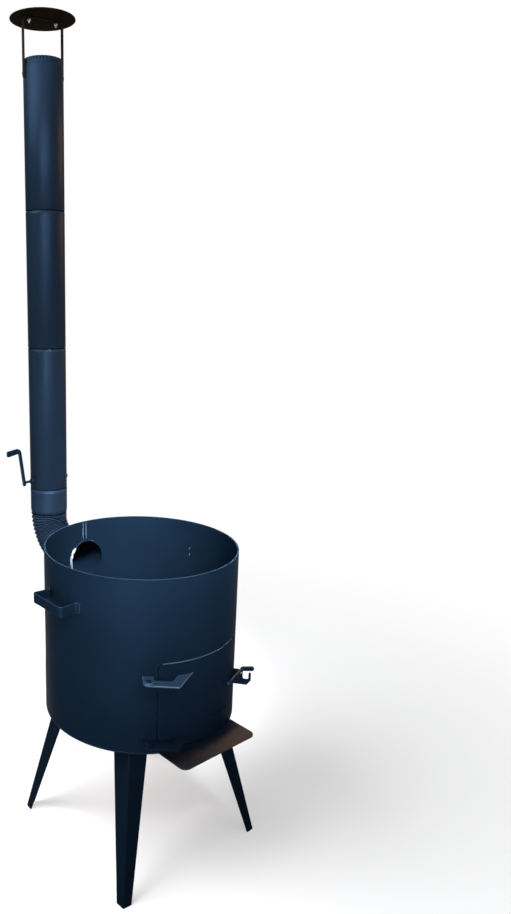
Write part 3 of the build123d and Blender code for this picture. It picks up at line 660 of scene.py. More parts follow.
# %% [markdown]
# ## Paint and edges
# A piece's own paint has the first material slot, which stays free until the piece is handed
# over, and every further finish gets a slot after it. No real edge is knife-sharp, so the sharp
# edges get a narrow bevel, and the bevel's faces can have a finish of their own.

# %% Finishes and bevelled edges
SHARP = math.radians(32)
SMOOTH_BELOW = math.radians(55)
BEVEL_SEGMENTS = 2


def extra_slot(piece, material):
    """Add a material after the place of the piece's own paint, and return its slot."""
    if not piece.data.materials:
        piece.data.materials.append(None)
    piece.data.materials.append(material)
    return len(piece.data.materials) - 1


def finish_faces(piece, slot, test):
    """Give the faces that pass a test the material in one of the piece's slots."""
    with editing(piece):
        pick(piece, "FACE", test)
        piece.active_material_index = slot
        bpy.ops.object.material_slot_assign()


def finish_edges(piece, width, edge_material=None, lit_top_above=None):
    """Bevel the sharp edges, give the bevels their own finish, and smooth what is round.

    Faces that look up and lie above that height get the edge's finish too, a painted highlight on a lit
    rim top.
    """
    slot = -1 if edge_material is None else extra_slot(piece, edge_material)
    modify(
        piece,
        "BEVEL",
        limit_method="ANGLE",
        angle_limit=SHARP,
        width=width,
        segments=BEVEL_SEGMENTS,
        material=slot,
        use_clamp_overlap=True,
    )
    if lit_top_above is not None:
        finish_faces(piece, slot, lambda middle, face: face.normal.z > 0.9 and middle.z > lit_top_above)
    bpy.ops.object.shade_smooth_by_angle(angle=SMOOTH_BELOW)
    modify(piece, "WEIGHTED_NORMAL", keep_sharp=True, weight=80)


print("edges over", round(math.degrees(SHARP)), "degrees get a bevel")

# %% [markdown]
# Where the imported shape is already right, it is copied instead of being modelled again. A packed
# mesh is made of loose triangles, so in the copy equal points are merged and flat faces made
# whole, because a bevel needs both.

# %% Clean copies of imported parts
JOIN_WITHIN = 0.01 * MM
FLAT_WITHIN = math.radians(0.4)


def merged_copy(node, name):
    """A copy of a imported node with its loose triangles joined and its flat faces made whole."""
    piece = nodes[node].copy()
    piece.data = nodes[node].data.copy()
    piece.name = name
    piece.parent = None
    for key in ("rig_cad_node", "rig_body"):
        if key in piece:
            del piece[key]
    piece.matrix_world = Matrix.Identity(4)
    bpy.context.scene.collection.objects.link(piece)
    piece.data.materials.clear()
    with editing(piece):
        bpy.ops.mesh.select_all(action="SELECT")
        bpy.ops.mesh.remove_doubles(threshold=JOIN_WITHIN)
        bpy.ops.mesh.dissolve_limited(angle_limit=FLAT_WITHIN)
        bpy.ops.mesh.normals_make_consistent(inside=False)
    return piece


print("points within", JOIN_WITHIN, "m are merged")

# %% [markdown]
# A finished piece takes its paint, hides the imported node it stands for, and moves with that
# node's body. A weld stands for no node and only rides along.


# %% Hand-over and measuring
def hand_over(piece, material, node):
    """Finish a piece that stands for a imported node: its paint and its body."""
    if piece.data.materials:
        piece.data.materials[0] = material
    else:
        piece.data.materials.append(material)
    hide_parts(node)
    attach(piece, body_of_node[node])


def ride_with(piece, material, node):
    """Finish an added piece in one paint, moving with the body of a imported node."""
    piece.data.materials.clear()
    piece.data.materials.append(material)
    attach(piece, body_of_node[node])


def box_of(node):
    """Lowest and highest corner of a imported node, as vectors."""
    low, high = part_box(node)
    return Vector(low), Vector(high)


print("drum box", box_of("drum_shell"))

# %% [markdown]
# ## Drum
# The drum is 3 mm sheet rolled round and welded down its back, with the door cut out of its own
# wall. A rolled wall is an open cylinder given a thickness. The openings are cut with closed
# shapes, because a cut leaves the true edge of sheet metal all round, which then gets its bevel.

# %% Rolled wall and the shapes that cut it
WALL = 3 * MM
ROUND = 288
DOOR_GAP = 2.3 * MM
DOOR_CORNER = 12 * MM
FLUE_GAP = 0.3 * MM
EDGE = 0.5 * MM

drum_low, drum_high = box_of("drum_shell")
DRUM_R = (drum_high.x - drum_low.x) / 2
FOOT_Z, RIM_Z = drum_low.z, drum_high.z
pipe_low, pipe_high = box_of("pipe_lower")
FLUE_Y = (pipe_low.y + pipe_high.y) / 2
elbow_low, elbow_high = box_of("flue_elbow")
PIPE_R = 43.5 * MM
HOLE_Z = elbow_low.z + PIPE_R
door_low, door_high = box_of("door_panel")


def rolled_wall(name, low_z, high_z, radius=DRUM_R, thickness=WALL):
    """A cylinder with a wall of sheet inside its radius, its ends open."""
    wall = start_from(
        bpy.ops.mesh.primitive_cylinder_add,
        vertices=ROUND,
        radius=radius,
        depth=high_z - low_z,
        end_fill_type="NOTHING",
        location=(0, 0, (low_z + high_z) / 2),
    )
    wall.name = name
    modify(wall, "SOLIDIFY", thickness=thickness, offset=-1.0, use_even_offset=True)
    return wall


def window_block(middle, sides, corner, segments):
    """A block that reaches through the wall along Y, its four long edges rounded."""
    piece = block(middle, sides)
    with editing(piece):
        pick(piece, "EDGE", lambda at, edge: abs(edge.verts[0].co.y - edge.verts[1].co.y) > sides[1] / 2)
        bpy.ops.mesh.bevel(offset=corner, segments=segments, affect="EDGES")
    return piece


def door_block(grow):
    """A block in front of the drum with the door's rounded outline, grown by a gap."""
    middle = (0, -DRUM_R, (door_low.z + door_high.z) / 2)
    sides = (door_high.x - door_low.x + 2 * grow, DRUM_R * 1.2, door_high.z - door_low.z + 2 * grow)
    return window_block(middle, sides, DOOR_CORNER + grow, 12)


def flue_plug(radius):
    """A cylinder that lies in the flue hole, to cut with."""
    return start_from(
        bpy.ops.mesh.primitive_cylinder_add,
        vertices=96,
        radius=radius,
        depth=DRUM_R,
        location=(0, DRUM_R, HOLE_Z),
        rotation=(math.pi / 2, 0, 0),
    )


print("drum", round(2 * DRUM_R, 4), "m across, from", round(FOOT_Z, 4), "to", round(RIM_Z, 4), "m")

# %% [markdown]
# Now the wall itself. Its opening is wider than the door by the saw's cut, and its flue hole
# leaves the elbow a little play. The bevels and the top of the rim get the paler paint, a painted
# highlight where the rim catches the light, partly paint worn thin by the cauldron.

# %% Drum wall with its openings
drum_wall = rolled_wall("drum_wall", FOOT_Z, RIM_Z)
cut(drum_wall, door_block(DOOR_GAP))
cut(drum_wall, flue_plug(PIPE_R + FLUE_GAP))
finish_edges(drum_wall, EDGE, paler_paint_painted_highlight, lit_top_above=RIM_Z - MM)
hand_over(drum_wall, drum_paint, "drum_shell")
print("drum wall", len(drum_wall.data.polygons), "faces")

# %% [markdown]
# ## Fire door
# The door is the piece that was cut out of the wall, with a saw's width of gap all round, and
# five air slots low down on its right side. It is made from the same rolled wall, kept only
# inside the door's outline, so that its curve runs on from the drum's.

# %% Door panel with air slots
SLOT_COUNT = 5
SLOT_PITCH = 11 * MM
SLOT_FIRST = 22 * MM
SLOT_W = 4 * MM
SLOT_H = 15 * MM
SLOT_LOW_Z = FOOT_Z + 39 * MM
SLOT_ROUND = SLOT_W * 0.49  # nearly half the width, so that the ends come out round
LATCH_AZIMUTH = math.radians(21.5)
PIVOT_R = 3 * MM

door_skin = rolled_wall("door_skin", door_low.z, door_high.z)
cut(door_skin, door_block(0), "INTERSECT")
for number in range(SLOT_COUNT):
    slot_at = (SLOT_FIRST + number * SLOT_PITCH, -DRUM_R, SLOT_LOW_Z + SLOT_H / 2)
    cut(door_skin, window_block(slot_at, (SLOT_W, DRUM_R, SLOT_H), SLOT_ROUND, 6))
latch_low, latch_high = box_of("latch_pivot_bolt")
LATCH_Z = (latch_low.z + latch_high.z) / 2
pivot_plug = start_from(
    bpy.ops.mesh.primitive_cylinder_add,
    vertices=32,
    radius=PIVOT_R,
    depth=DRUM_R / 2,
    location=(DRUM_R * math.sin(LATCH_AZIMUTH), -DRUM_R * math.cos(LATCH_AZIMUTH), LATCH_Z),
    rotation=(math.pi / 2, 0, LATCH_AZIMUTH),
)
cut(door_skin, pivot_plug)
# the door's bevels and top face take the pale edge paint, a painted highlight
finish_edges(door_skin, EDGE, worn_edge_and_highlight, lit_top_above=door_high.z - MM)
hand_over(door_skin, drum_paint, "door_panel")
print("door skin", len(door_skin.data.polygons), "faces")

# %% [markdown]
# ## Flat bar, plate and folded parts
# Legs, handles, hinges, latch and shelf are cut from bar and plate. Their imported shapes are
# right, but their edges are knife-sharp, which no real edge is. So each gets a merged copy with
# bevelled edges: a sheared edge of 3 mm steel is broken by about half a millimetre. The bevels get
# a paler paint, partly paint worn thin and partly a painted highlight, brightest on the upper hinge
# and the latch lever. The upper hinge is painted paler all over, a painted highlight of its tops lit
# from above. The lower hinge, in shade, keeps the drum's dark paint on its edges too, as painted shade.

# %% Bevelled copies of the plate and bar parts
PLATE_PARTS = {
    # the shelf's paint carries painted shade and a painted warm reflection
    "floor_plate": (0.5 * MM, shelf_paint_painted_shade_and_reflection),
    "leg_front_left": (0.5 * MM, drum_paint),
    "leg_front_right": (0.5 * MM, drum_paint),
    "leg_rear_left": (0.5 * MM, drum_paint),
    "leg_rear_right": (0.5 * MM, drum_paint),
    "carry_handle_left": (0.6 * MM, drum_paint),
    "carry_handle_right": (0.6 * MM, drum_paint),
    # the upper hinge is painted paler all over, a painted highlight of its lit tops
    "hinge_tab_upper": (0.5 * MM, paler_paint_painted_highlight),
    "hinge_tab_lower": (0.5 * MM, drum_paint),
    "hinge_arm_upper": (0.5 * MM, paler_paint_painted_highlight),
    "hinge_arm_lower": (0.5 * MM, drum_paint),
    "latch_lever": (0.5 * MM, drum_paint),
    "latch_catch": (0.4 * MM, drum_paint),
    "latch_spacer": (0.3 * MM, drum_paint),
    "grate_lugs": (0.4 * MM, drum_paint),
    "damper_bushes": (0.5 * MM, drum_paint),
    "damper_handle": (0.7 * MM, drum_paint),
    # the cap's brown is a painted warm reflection
    "cap_strap": (0.3 * MM, cap_paint_warm_reflection),
    "cap_disc": (0.4 * MM, cap_paint_warm_reflection),
}
# the brightest painted highlight on the edges of the upper hinge and latch lever; the lower hinge's edges
# stay dark as painted shade
LIT_HANDLED_PARTS = ("hinge_tab_upper", "hinge_arm_upper", "latch_lever")
SHADED_LOWER_HINGE = ("hinge_tab_lower", "hinge_arm_lower")
for node, (bevel, paint) in PLATE_PARTS.items():
    piece = merged_copy(node, node + "_painted")
    edge = worn_edge_and_highlight if node in LIT_HANDLED_PARTS else paler_paint_painted_highlight
    finish_edges(piece, bevel, drum_paint if node in SHADED_LOWER_HINGE else edge)
    hand_over(piece, paint, node)
print("plate parts", len(PLATE_PARTS))

# %% [markdown]
# The grate, the damper's disc and its screws are bare. The damper's shaft is round bar, sprayed
# with the stove. Their edges are broken too, but have no paint to lose, so the bevel has no
# finish of its own. The cast grate is rounder than anything cut from sheet.

# %% Bare metal parts and the damper's shaft
METAL_PARTS = {
    "damper_shaft": drum_paint,
    "damper_screws": zinc_plate,
    "damper_disc": rolled_sheet,
    "fire_grate": cast_iron,
}
CAST_EDGE, SHEARED_EDGE = 0.8 * MM, 0.25 * MM
for node, metal in METAL_PARTS.items():
    piece = merged_copy(node, node + "_bare")
    finish_edges(piece, CAST_EDGE if metal == cast_iron else SHEARED_EDGE)
    hand_over(piece, metal, node)
print("metal parts", len(METAL_PARTS))

# %% [markdown]
# ## Chimney pipes
# Each length is thin sheet rolled to 87 mm, with a raised bead near its top, a shoulder, and a
# crimped end that slips into the next length. A turned profile suits that: one ring is extruded
# upwards step by step and resized at each step, and then every fourth column of the crimped end
# is pressed inwards.

# %% Ring stacks
FLUTES = 36
FLUTE_COLUMNS = 4
COLUMNS = FLUTES * FLUTE_COLUMNS


def ring_stack(name, rows, columns=COLUMNS, centre=(0, FLUE_Y), ends="NOTHING"):
    """A tube, or with ends NGON a solid, about an upright axis. A row is (radius, height)."""
    radius, height = rows[0]
    piece = start_from(
        bpy.ops.mesh.primitive_circle_add,
        vertices=columns,
        radius=radius,
        location=(*centre, height),
        fill_type=ends,
    )
    piece.name = name
    with editing(piece):
        bpy.ops.mesh.select_mode(type="VERT")
        bpy.ops.mesh.select_all(action="SELECT")
        raise_rings(centre, rows)
    return piece


def raise_rings(centre, rows):
    """Extrude the selected ring, which is the first row, upwards through the other rows."""
    for (radius, height), (next_radius, next_height) in zip(rows, rows[1:]):
        bpy.ops.mesh.extrude_region_move(TRANSFORM_OT_translate={"value": (0, 0, next_height - height)})
        grow = next_radius / radius
        bpy.ops.transform.resize(value=(grow, grow, 1), center_override=(*centre, next_height))


print("columns in a ring", COLUMNS)

# %% [markdown]
# Crimping and folding leave their marks on the round tube: flutes in the end that slips into the
# next length, and a seam down the back where the sheet is folded together. Both are made by
# picking columns of the stack by their place and moving them.

# %% Flutes and the folded seam
PIPE_WALL = 1.0 * MM
SLIP = 0.3 * MM
SPIGOT_R = PIPE_R - PIPE_WALL - SLIP
SPIGOT_LEVELS = 3
FLUTE_DEPTH = 1.9 * MM
PIPE_SEAM_HALF = 4 * MM
PIPE_SEAM_OUT = 0.4 * MM


def press_flutes(piece, from_z, to_z):
    """Press every fourth column of the crimped end inwards, less deep near its foot."""
    for level in range(1, SPIGOT_LEVELS + 1):
        height = from_z + (to_z - from_z) * level / SPIGOT_LEVELS

        def in_flute(middle, vertex):
            turn = math.atan2(middle.y - FLUE_Y, middle.x) / (2 * math.pi) * COLUMNS
            return abs(middle.z - height) < 0.5 * MM and round(turn) % FLUTE_COLUMNS == 0

        pick(piece, "VERT", in_flute)
        squeeze = 1 - FLUTE_DEPTH * min(1, level / 2) / SPIGOT_R
        bpy.ops.transform.resize(value=(squeeze, squeeze, 1), center_override=(0, FLUE_Y, height))


def raise_seam(piece, low_z, high_z):
    """Push out the columns at the back of a pipe, where the rolled sheet is folded together."""

    def in_seam(middle, vertex):
        behind = abs(middle.x) < PIPE_SEAM_HALF and middle.y > FLUE_Y
        return behind and low_z - MM < middle.z < high_z

    pick(piece, "VERT", in_seam)
    bpy.ops.transform.translate(value=(0, PIPE_SEAM_OUT, 0))


print(FLUTES, "flutes,", FLUTE_DEPTH, "m deep")

# %% [markdown]
# A bead and a crimped end are rows of the stack, each a radius and a height. As functions they
# serve every length and the elbow's collar. Last, the tube gets the sheet's thickness inwards, so
# that its outside keeps its size.

# %% Rows of a bead and a crimped end
SPIGOT_TAPER = 1.0 * MM
SHOULDER = 2.4 * MM
SHOULDER_BREAK = 0.3 * MM
BEAD_R = 0.45 * MM
BEAD_FOOT, BEAD_WIDTH = 2.2 * BEAD_R, 1.6 * BEAD_R


def bead_rows(middle):
    """Rows over one raised bead, half a circle with a soft foot."""
    rows = [(PIPE_R, middle - BEAD_FOOT)]
    for step in range(-3, 4):
        angle = math.radians(step * 28)
        rows.append((PIPE_R + BEAD_R * math.cos(angle), middle + BEAD_WIDTH * math.sin(angle)))
    rows.append((PIPE_R, middle + BEAD_FOOT))
    return rows


def spigot_rows(high, spigot):
    """Rows of the shoulder and the tapered crimped end above it."""
    rows = [(PIPE_R, high - SHOULDER), (PIPE_R - SHOULDER_BREAK, high - SHOULDER * 0.85)]
    rows += [(SPIGOT_R, high - SHOULDER * 0.6)]
    for level in range(SPIGOT_LEVELS + 1):
        narrower = SPIGOT_TAPER * level / SPIGOT_LEVELS
        rows.append((SPIGOT_R - narrower, high + spigot * level / SPIGOT_LEVELS))
    return rows


def close_tube(piece):
    """Turn the tube's faces outwards, give them the sheet's thickness and smooth them."""
    with editing(piece):
        bpy.ops.mesh.select_all(action="SELECT")
        bpy.ops.mesh.normals_make_consistent(inside=False)
    face = piece.data.polygons[0]
    outward = Vector((face.center.x, face.center.y - FLUE_Y, 0)).dot(face.normal) > 0
    modify(piece, "SOLIDIFY", thickness=PIPE_WALL, offset=-1.0 if outward else 1.0, use_even_offset=True)
    only(piece)
    bpy.ops.object.shade_smooth_by_angle(angle=math.radians(62))


print("a bead has", len(bead_rows(0)), "rows and a crimped end", len(spigot_rows(0, 1)))

# %% [markdown]
# Three lengths stand on each other. Where two meet, the lower one's shoulder and the upper one's
# edge leave a groove, whose faces are painted black as a painted shade. The top length carries
# the cap and has no bead, because nothing is pushed over it.

# %% Pipe lengths
SHADE_OVER = 0.1 * MM
PIPE_EDGE = 0.3 * MM


def paint_groove_shade(piece, low_z, high_z):
    """Give the faces between two heights the groove's black, a painted shade."""
    slot = extra_slot(piece, groove_painted_shade)
    finish_faces(piece, slot, lambda middle, face: low_z < middle.z < high_z)


def pipe_length(node, spigot, bead_drop):
    """One slip-fit length of chimney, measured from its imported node."""
    low, high = box_of(node)
    top = high.z - spigot
    rows = [(PIPE_R - PIPE_EDGE, low.z), (PIPE_R, low.z + PIPE_EDGE)]
    rows += bead_rows(top - bead_drop) if bead_drop else []
    rows += spigot_rows(top, spigot)
    piece = ring_stack(node + "_rolled", rows)
    with editing(piece):
        press_flutes(piece, top, high.z)
        raise_seam(piece, low.z, top - SHOULDER)
    close_tube(piece)
    # painted shade in the groove under the crimped end
    if bead_drop:
        paint_groove_shade(piece, top - SHOULDER, top + SHADE_OVER)
    hand_over(piece, pipe_paint, node)
    return piece


SPIGOT_H = 22 * MM
TOP_SPIGOT_H = 13 * MM
BEAD_DROP = 8 * MM
for node, spigot, bead_drop in (
    ("pipe_lower", SPIGOT_H, BEAD_DROP),
    ("pipe_middle", SPIGOT_H, BEAD_DROP),
    ("pipe_upper", TOP_SPIGOT_H, 0),
):
    made = pipe_length(node, spigot, bead_drop)
    print(made.name, len(made.data.polygons), "faces")

# %% [markdown]
# ## Bellows elbow
# The flue leaves the drum through a bought elbow: sheet pressed into fine pleats so that it
# bends. On the real one a machine pleats a straight tube. Here one ring is extruded along the
# bend in small turns, a little narrower in each valley, and then straight up through the collar.

# %% Elbow with pleats, collar and crimped end
PLEATS = 15
ROWS_PER_PLEAT = 6
PLEAT_DEPTH = 2.9 * MM
BEND_TUBE_R = 42.7 * MM
BEND_R = 76 * MM
COLLAR_TAPER = 12 * MM
COLLAR_SPIGOT = 11 * MM
MOUTH_START = 180 * MM
NECK = 3 * MM
bend_middle = Vector((0, FLUE_Y - BEND_R, HOLE_Z + BEND_R))

elbow = start_from(
    bpy.ops.mesh.primitive_circle_add,
    vertices=COLUMNS,
    radius=PIPE_R,
    location=(0, MOUTH_START, HOLE_Z),
    rotation=(math.pi / 2, 0, 0),
)
elbow.name = "flue_elbow_pleated"
collar_top = elbow_high.z - COLLAR_SPIGOT
# the dark groove between pleats and collar: how far in and how far up, in millimetres
GROOVE = ((-2.0, 0.9), (-2.7, 1.8), (-2.7, 2.8), (-1.6, 3.8), (-0.2, 4.8))
with editing(elbow):
    bpy.ops.mesh.select_mode(type="VERT")
    bpy.ops.mesh.select_all(action="SELECT")
    for along, radius_now, radius_next in (
        (bend_middle.y - NECK - MOUTH_START, PIPE_R, PIPE_R),
        (NECK, PIPE_R, BEND_TUBE_R),
    ):
        bpy.ops.mesh.extrude_region_move(TRANSFORM_OT_translate={"value": (0, along, 0)})
        grow = radius_next / radius_now
        bpy.ops.transform.resize(value=(grow, grow, grow), center_override=(0, bend_middle.y, HOLE_Z))
    steps = PLEATS * ROWS_PER_PLEAT
    radius = BEND_TUBE_R
    for step in range(1, steps + 1):
        turned = math.radians(90) * step / steps
        bpy.ops.mesh.extrude_region_move(TRANSFORM_OT_translate={"value": (0, 0, 0)})
        # with no window this operator turns the other way, so the angle is negative
        bpy.ops.transform.rotate(
            value=-math.radians(90) / steps, orient_axis="X", center_override=tuple(bend_middle)
        )
        wave = math.cos(2 * math.pi * step / ROWS_PER_PLEAT)
        next_radius = BEND_TUBE_R - PLEAT_DEPTH / 2 * (1 - wave)
        grow = next_radius / radius
        centre = bend_middle + BEND_R * Vector((0, math.sin(turned), -math.cos(turned)))
        bpy.ops.transform.resize(value=(grow, grow, grow), center_override=tuple(centre))
        radius = next_radius
    rows = [(radius, bend_middle.z)]
    rows += [(BEND_TUBE_R + deep * MM, bend_middle.z + up * MM) for deep, up in GROOVE]
    rows += [(PIPE_R, bend_middle.z + COLLAR_TAPER)]
    rows += bead_rows(collar_top - BEAD_DROP) + spigot_rows(collar_top, COLLAR_SPIGOT)
    raise_rings((0, FLUE_Y), rows)
    press_flutes(elbow, collar_top, elbow_high.z)
close_tube(elbow)
elbow_box = [tuple(round(v, 4) for v in elbow.bound_box[corner]) for corner in (0, 6)]
print("elbow box", elbow_box)

# %% [markdown]
# The elbow's plain end is trimmed to the drum's curve just inside its wall. On the left its cut
# edge is bright steel, a painted glint that shows as a bright thin arc inside the flue hole. It
# could be a separate ring, but here the mouth's own faces are divided and picked by their place.

# %% Trim and paint the mouth
MOUTH_R = 190.8 * MM
GLINT_TO = 193.5 * MM
GLINT_LEFT, GLINT_HEIGHT = -0.45 * PIPE_R, 0.75 * PIPE_R
GROOVE_SHADE = (1.0 * MM, 3.6 * MM)

bore = ring_stack("bore", [(MOUTH_R, HOLE_Z - DRUM_R), (MOUTH_R, HOLE_Z + DRUM_R)], ROUND, (0, 0), "NGON")
cut(elbow, bore)
glint_slot = extra_slot(elbow, glinting_cut_edge)
sprayed_slot = extra_slot(elbow, drum_paint)
# painted shade in the groove under the crimped end and between the pleats and the collar
paint_groove_shade(elbow, collar_top - SHOULDER, collar_top + SHADE_OVER)
paint_groove_shade(elbow, bend_middle.z + GROOVE_SHADE[0], bend_middle.z + GROOVE_SHADE[1])
with editing(elbow):
    pick(elbow, "FACE", lambda middle, face: True)
    bpy.ops.mesh.bisect(plane_co=(0, GLINT_TO, HOLE_Z), plane_no=(0, 1, 0))


def glinting_mouth(middle, face):
    """Faces of the trimmed end on the left, which get the painted glint, but not the tube's inner wall."""
    inwards = (Vector((0, middle.y, HOLE_Z)) - middle).normalized()
    far_side = middle.x < GLINT_LEFT and abs(middle.z - HOLE_Z) < GLINT_HEIGHT
    return far_side and middle.y < GLINT_TO and face.normal.dot(inwards) < 0.5


def sprayed_inside(middle, face):
    """The tube's inner wall up to the bend, which was sprayed through the drum's hole."""
    inwards = (Vector((0, middle.y, HOLE_Z)) - middle).normalized()
    return middle.z < HOLE_Z + PIPE_R and face.normal.dot(inwards) > 0.5


# the left of the mouth's end gets the painted glint
finish_faces(elbow, glint_slot, glinting_mouth)
finish_faces(elbow, sprayed_slot, sprayed_inside)
hand_over(elbow, pipe_paint, "flue_elbow")
print("elbow", len(elbow.data.polygons), "faces")

# %% [markdown]
# Four cut tongues are bent outwards against the drum's wall to hold the elbow. They follow the
# wall's curve, so they are cut out of a thin rolled liner: a bar across the hole leaves two
# tongues, and the hole's own cylinder parts them.

# %% Tongues
TONGUE_W = 10 * MM
TONGUE_T = 1 * MM
TONGUE_OUT = 8 * MM
TONGUE_GAP = 0.3 * MM
TONGUE_TURN = math.radians(-14)
TONGUE_REACH = 2 * (PIPE_R + TONGUE_OUT)
tongues = []
for quarter in (0, 1):
    liner = rolled_wall(
        f"tongue_pair_{quarter}",
        HOLE_Z - 2 * PIPE_R,
        HOLE_Z + 2 * PIPE_R,
        DRUM_R - WALL - TONGUE_GAP,
        TONGUE_T,
    )
    turn = (0, TONGUE_TURN + quarter * math.pi / 2, 0)
    cut(liner, block((0, DRUM_R, HOLE_Z), (TONGUE_REACH, DRUM_R / 4, TONGUE_W), turn), "INTERSECT")
    cut(liner, flue_plug(PIPE_R))
    tongues.append(liner)
only(*tongues)
bpy.ops.object.join()
tongue_set = bpy.context.object
tongue_set.name = "elbow_tongues"
finish_edges(tongue_set, 0.3 * MM)
ride_with(tongue_set, drum_paint, "flue_elbow")
print("tongues", len(tongue_set.data.polygons), "faces")

# %% [markdown]
# ## Bolts and nuts
# The small hardware is bought: domed bolts at the hinges and the latch, pan-head screws with a
# cross recess at the rain cap. A screw is a turned shape, so it is a stack of rings too, with a
# ring for each crest and root of its thread. A thread is really a helix, but at a millimetre
# between crests nobody can tell grooves from a helix, and grooves stay closed and light.

# %% Screws
THREAD_PITCH = 1.0 * MM
HEAD_EDGE = 0.3 * MM


def screw(name, shank_r, length, head_r, head_h, recess=False):
    """A screw that points down from the origin, its domed head above, with a cross recess or not."""
    depth = THREAD_PITCH * 0.45
    tip = 0.5 * MM
    rows = [(shank_r - 2 * tip, -length), (shank_r - depth, -length + tip)]
    height = -length + tip + THREAD_PITCH / 2
    while height < -THREAD_PITCH:
        rows += [(shank_r, height), (shank_r - depth, height + THREAD_PITCH / 2)]
        height += THREAD_PITCH
    rows += [(shank_r, height), (shank_r, 0), (head_r - HEAD_EDGE, 0), (head_r, HEAD_EDGE)]
    for step in range(1, 7):
        angle = math.radians(14 * step)
        dome_z = HEAD_EDGE + (head_h - HEAD_EDGE) * math.sin(angle)
        rows.append((head_r * math.cos(angle) + 0.02 * MM, dome_z))
    piece = ring_stack(name, rows, 32, (0, 0), "NGON")
    for quarter in range(2 if recess else 0):
        blade = (head_r * 1.1, head_r * 0.24, head_h * 1.1)
        cut(piece, block((0, 0, head_h), blade, (0, 0, quarter * math.pi / 2)))
    only(piece)
    bpy.ops.object.shade_smooth_by_angle(angle=math.radians(35))
    return piece


print("thread pitch", THREAD_PITCH, "m")

# %% [markdown]
# A nut is a piece of hexagon bar, chamfered on a lathe at both ends and bored. So it is made as
# what a hexagon and a turned shape have in common.

# %% Hexagon nuts
NUT_CHAMFER = math.radians(30)


def hex_nut(name, flats, height, bore_r):
    """A hexagon nut that stands on the origin, chamfered at both ends and bored through."""
    corner_r = flats / math.sqrt(3)
    face_r = flats * 0.48
    turned_r = corner_r + 0.01 * MM
    chamfer = (corner_r - face_r) * math.tan(NUT_CHAMFER)
    piece = start_from(
        bpy.ops.mesh.primitive_cylinder_add,
        vertices=6,
        radius=corner_r,
        depth=height,
        location=(0, 0, height / 2),
        rotation=(0, 0, math.pi / 2),
    )
    piece.name = name
    rows = [(face_r, 0), (turned_r, chamfer), (turned_r, height - chamfer), (face_r, height)]
    cut(piece, ring_stack("chamfers", rows, 48, (0, 0), "NGON"), "INTERSECT")
    cut(piece, ring_stack("bore", [(bore_r, -height), (bore_r, 2 * height)], 24, (0, 0), "NGON"))
    finish_edges(piece, 0.12 * MM)
    return piece


print("nuts chamfered at", round(math.degrees(NUT_CHAMFER)), "degrees")

# %% [markdown]
# Each kind of fastener is modelled once, upright at the origin, and copied. A copy is turned from
# upright to the way the real one points, and then about its own axis, because nobody lines up
# screw heads.


# %% Copies in their places
def fit_copies(name, master, places):
    """Copies of a master, each at (point, direction, roll about its own axis), as one piece."""
    copies = []
    for point, direction, roll in places:
        twin = master.copy()
        twin.data = master.data.copy()
        bpy.context.scene.collection.objects.link(twin)
        twin.matrix_world = (
            Matrix.Translation(Vector(point) * MM)
            @ Vector(direction).to_track_quat("Z", "Y").to_matrix().to_4x4()
            @ Matrix.Rotation(math.radians(roll), 4, "Z")
        )
        settle(twin)
        copies.append(twin)
    only(*copies)
    if len(copies) > 1:
        bpy.ops.object.join()
    made = bpy.context.object
    made.name = name
    bpy.data.objects.remove(master)
    return made


def fasten(node, name, master, paint, places):
    """Set copies of one fastener in their places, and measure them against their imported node."""
    piece = fit_copies(name, master, places)
    hand_over(piece, paint, node)
    low, high = box_of(node)
    corners = [piece.matrix_world @ Vector(corner) for corner in piece.bound_box]
    lows = [min(corner[axis] for corner in corners) - low[axis] for axis in range(3)]
    highs = [max(corner[axis] for corner in corners) - high[axis] for axis in range(3)]
    off = max(abs(error) for error in lows + highs)
    print(piece.name, "within", round(off / MM, 2), "mm of its packed box")


print("packed fasteners", [node for node in nodes if "bolt" in node or "nut" in node])

# %% [markdown]
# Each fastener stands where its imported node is. The hinge and latch hardware was fitted before
# the stove was sprayed and has the drum's paint. Places are in millimetres.

# %% Hinge and latch hardware
SIDES = (-1, 1)
UP = (0, 0, 1)
HINGE_AT = (-129.02, -177.58)
HINGE_HEADS, HINGE_NUTS = (460.5, 332.0), (451.9, 323.4)
LATCH_OUT = (math.sin(LATCH_AZIMUTH), -math.cos(LATCH_AZIMUTH), 0)
LATCH_HEAD_R, LATCH_NUT_R = 206.1, 191.87


def latch_at(radius):
    """A point on the latch bolt's axis, this far from the drum's axis."""
    return (LATCH_OUT[0] * radius, LATCH_OUT[1] * radius, LATCH_Z / MM)


fasten(
    "hinge_bolts",
    "hinge_bolts_domed",
    screw("hinge_bolt", shank_r=3 * MM, length=9.1 * MM, head_r=5 * MM, head_h=3.2 * MM),
    drum_paint,
    [((*HINGE_AT, height), UP, 0) for height in HINGE_HEADS],
)
fasten(
    "hinge_nuts",
    "hinge_nuts_hex",
    hex_nut("hinge_nut", flats=10 * MM, height=2 * MM, bore_r=3 * MM),
    drum_paint,
    [((*HINGE_AT, height), UP, 0) for height in HINGE_NUTS],
)
fasten(
    "latch_pivot_bolt",
    "latch_pivot_bolt_domed",
    screw("latch_bolt", shank_r=3 * MM, length=15.7 * MM, head_r=5.6 * MM, head_h=3.2 * MM, recess=True),
    drum_paint,
    [(latch_at(LATCH_HEAD_R), LATCH_OUT, 45)],
)
fasten(
    "latch_nut",
    "latch_nut_hex",
    hex_nut("latch_nut", flats=10 * MM, height=5 * MM, bore_r=3 * MM),
    drum_paint,
    [(latch_at(LATCH_NUT_R), LATCH_OUT, 0)],
)

# %% [markdown]
# The rain cap stands on a strap that was bent to a U and turned a little on the pipe. Its two
# screws and all four nuts are bright zinc. The strap's own screws have the cap's brown-black paint,
# with its painted warm reflection.

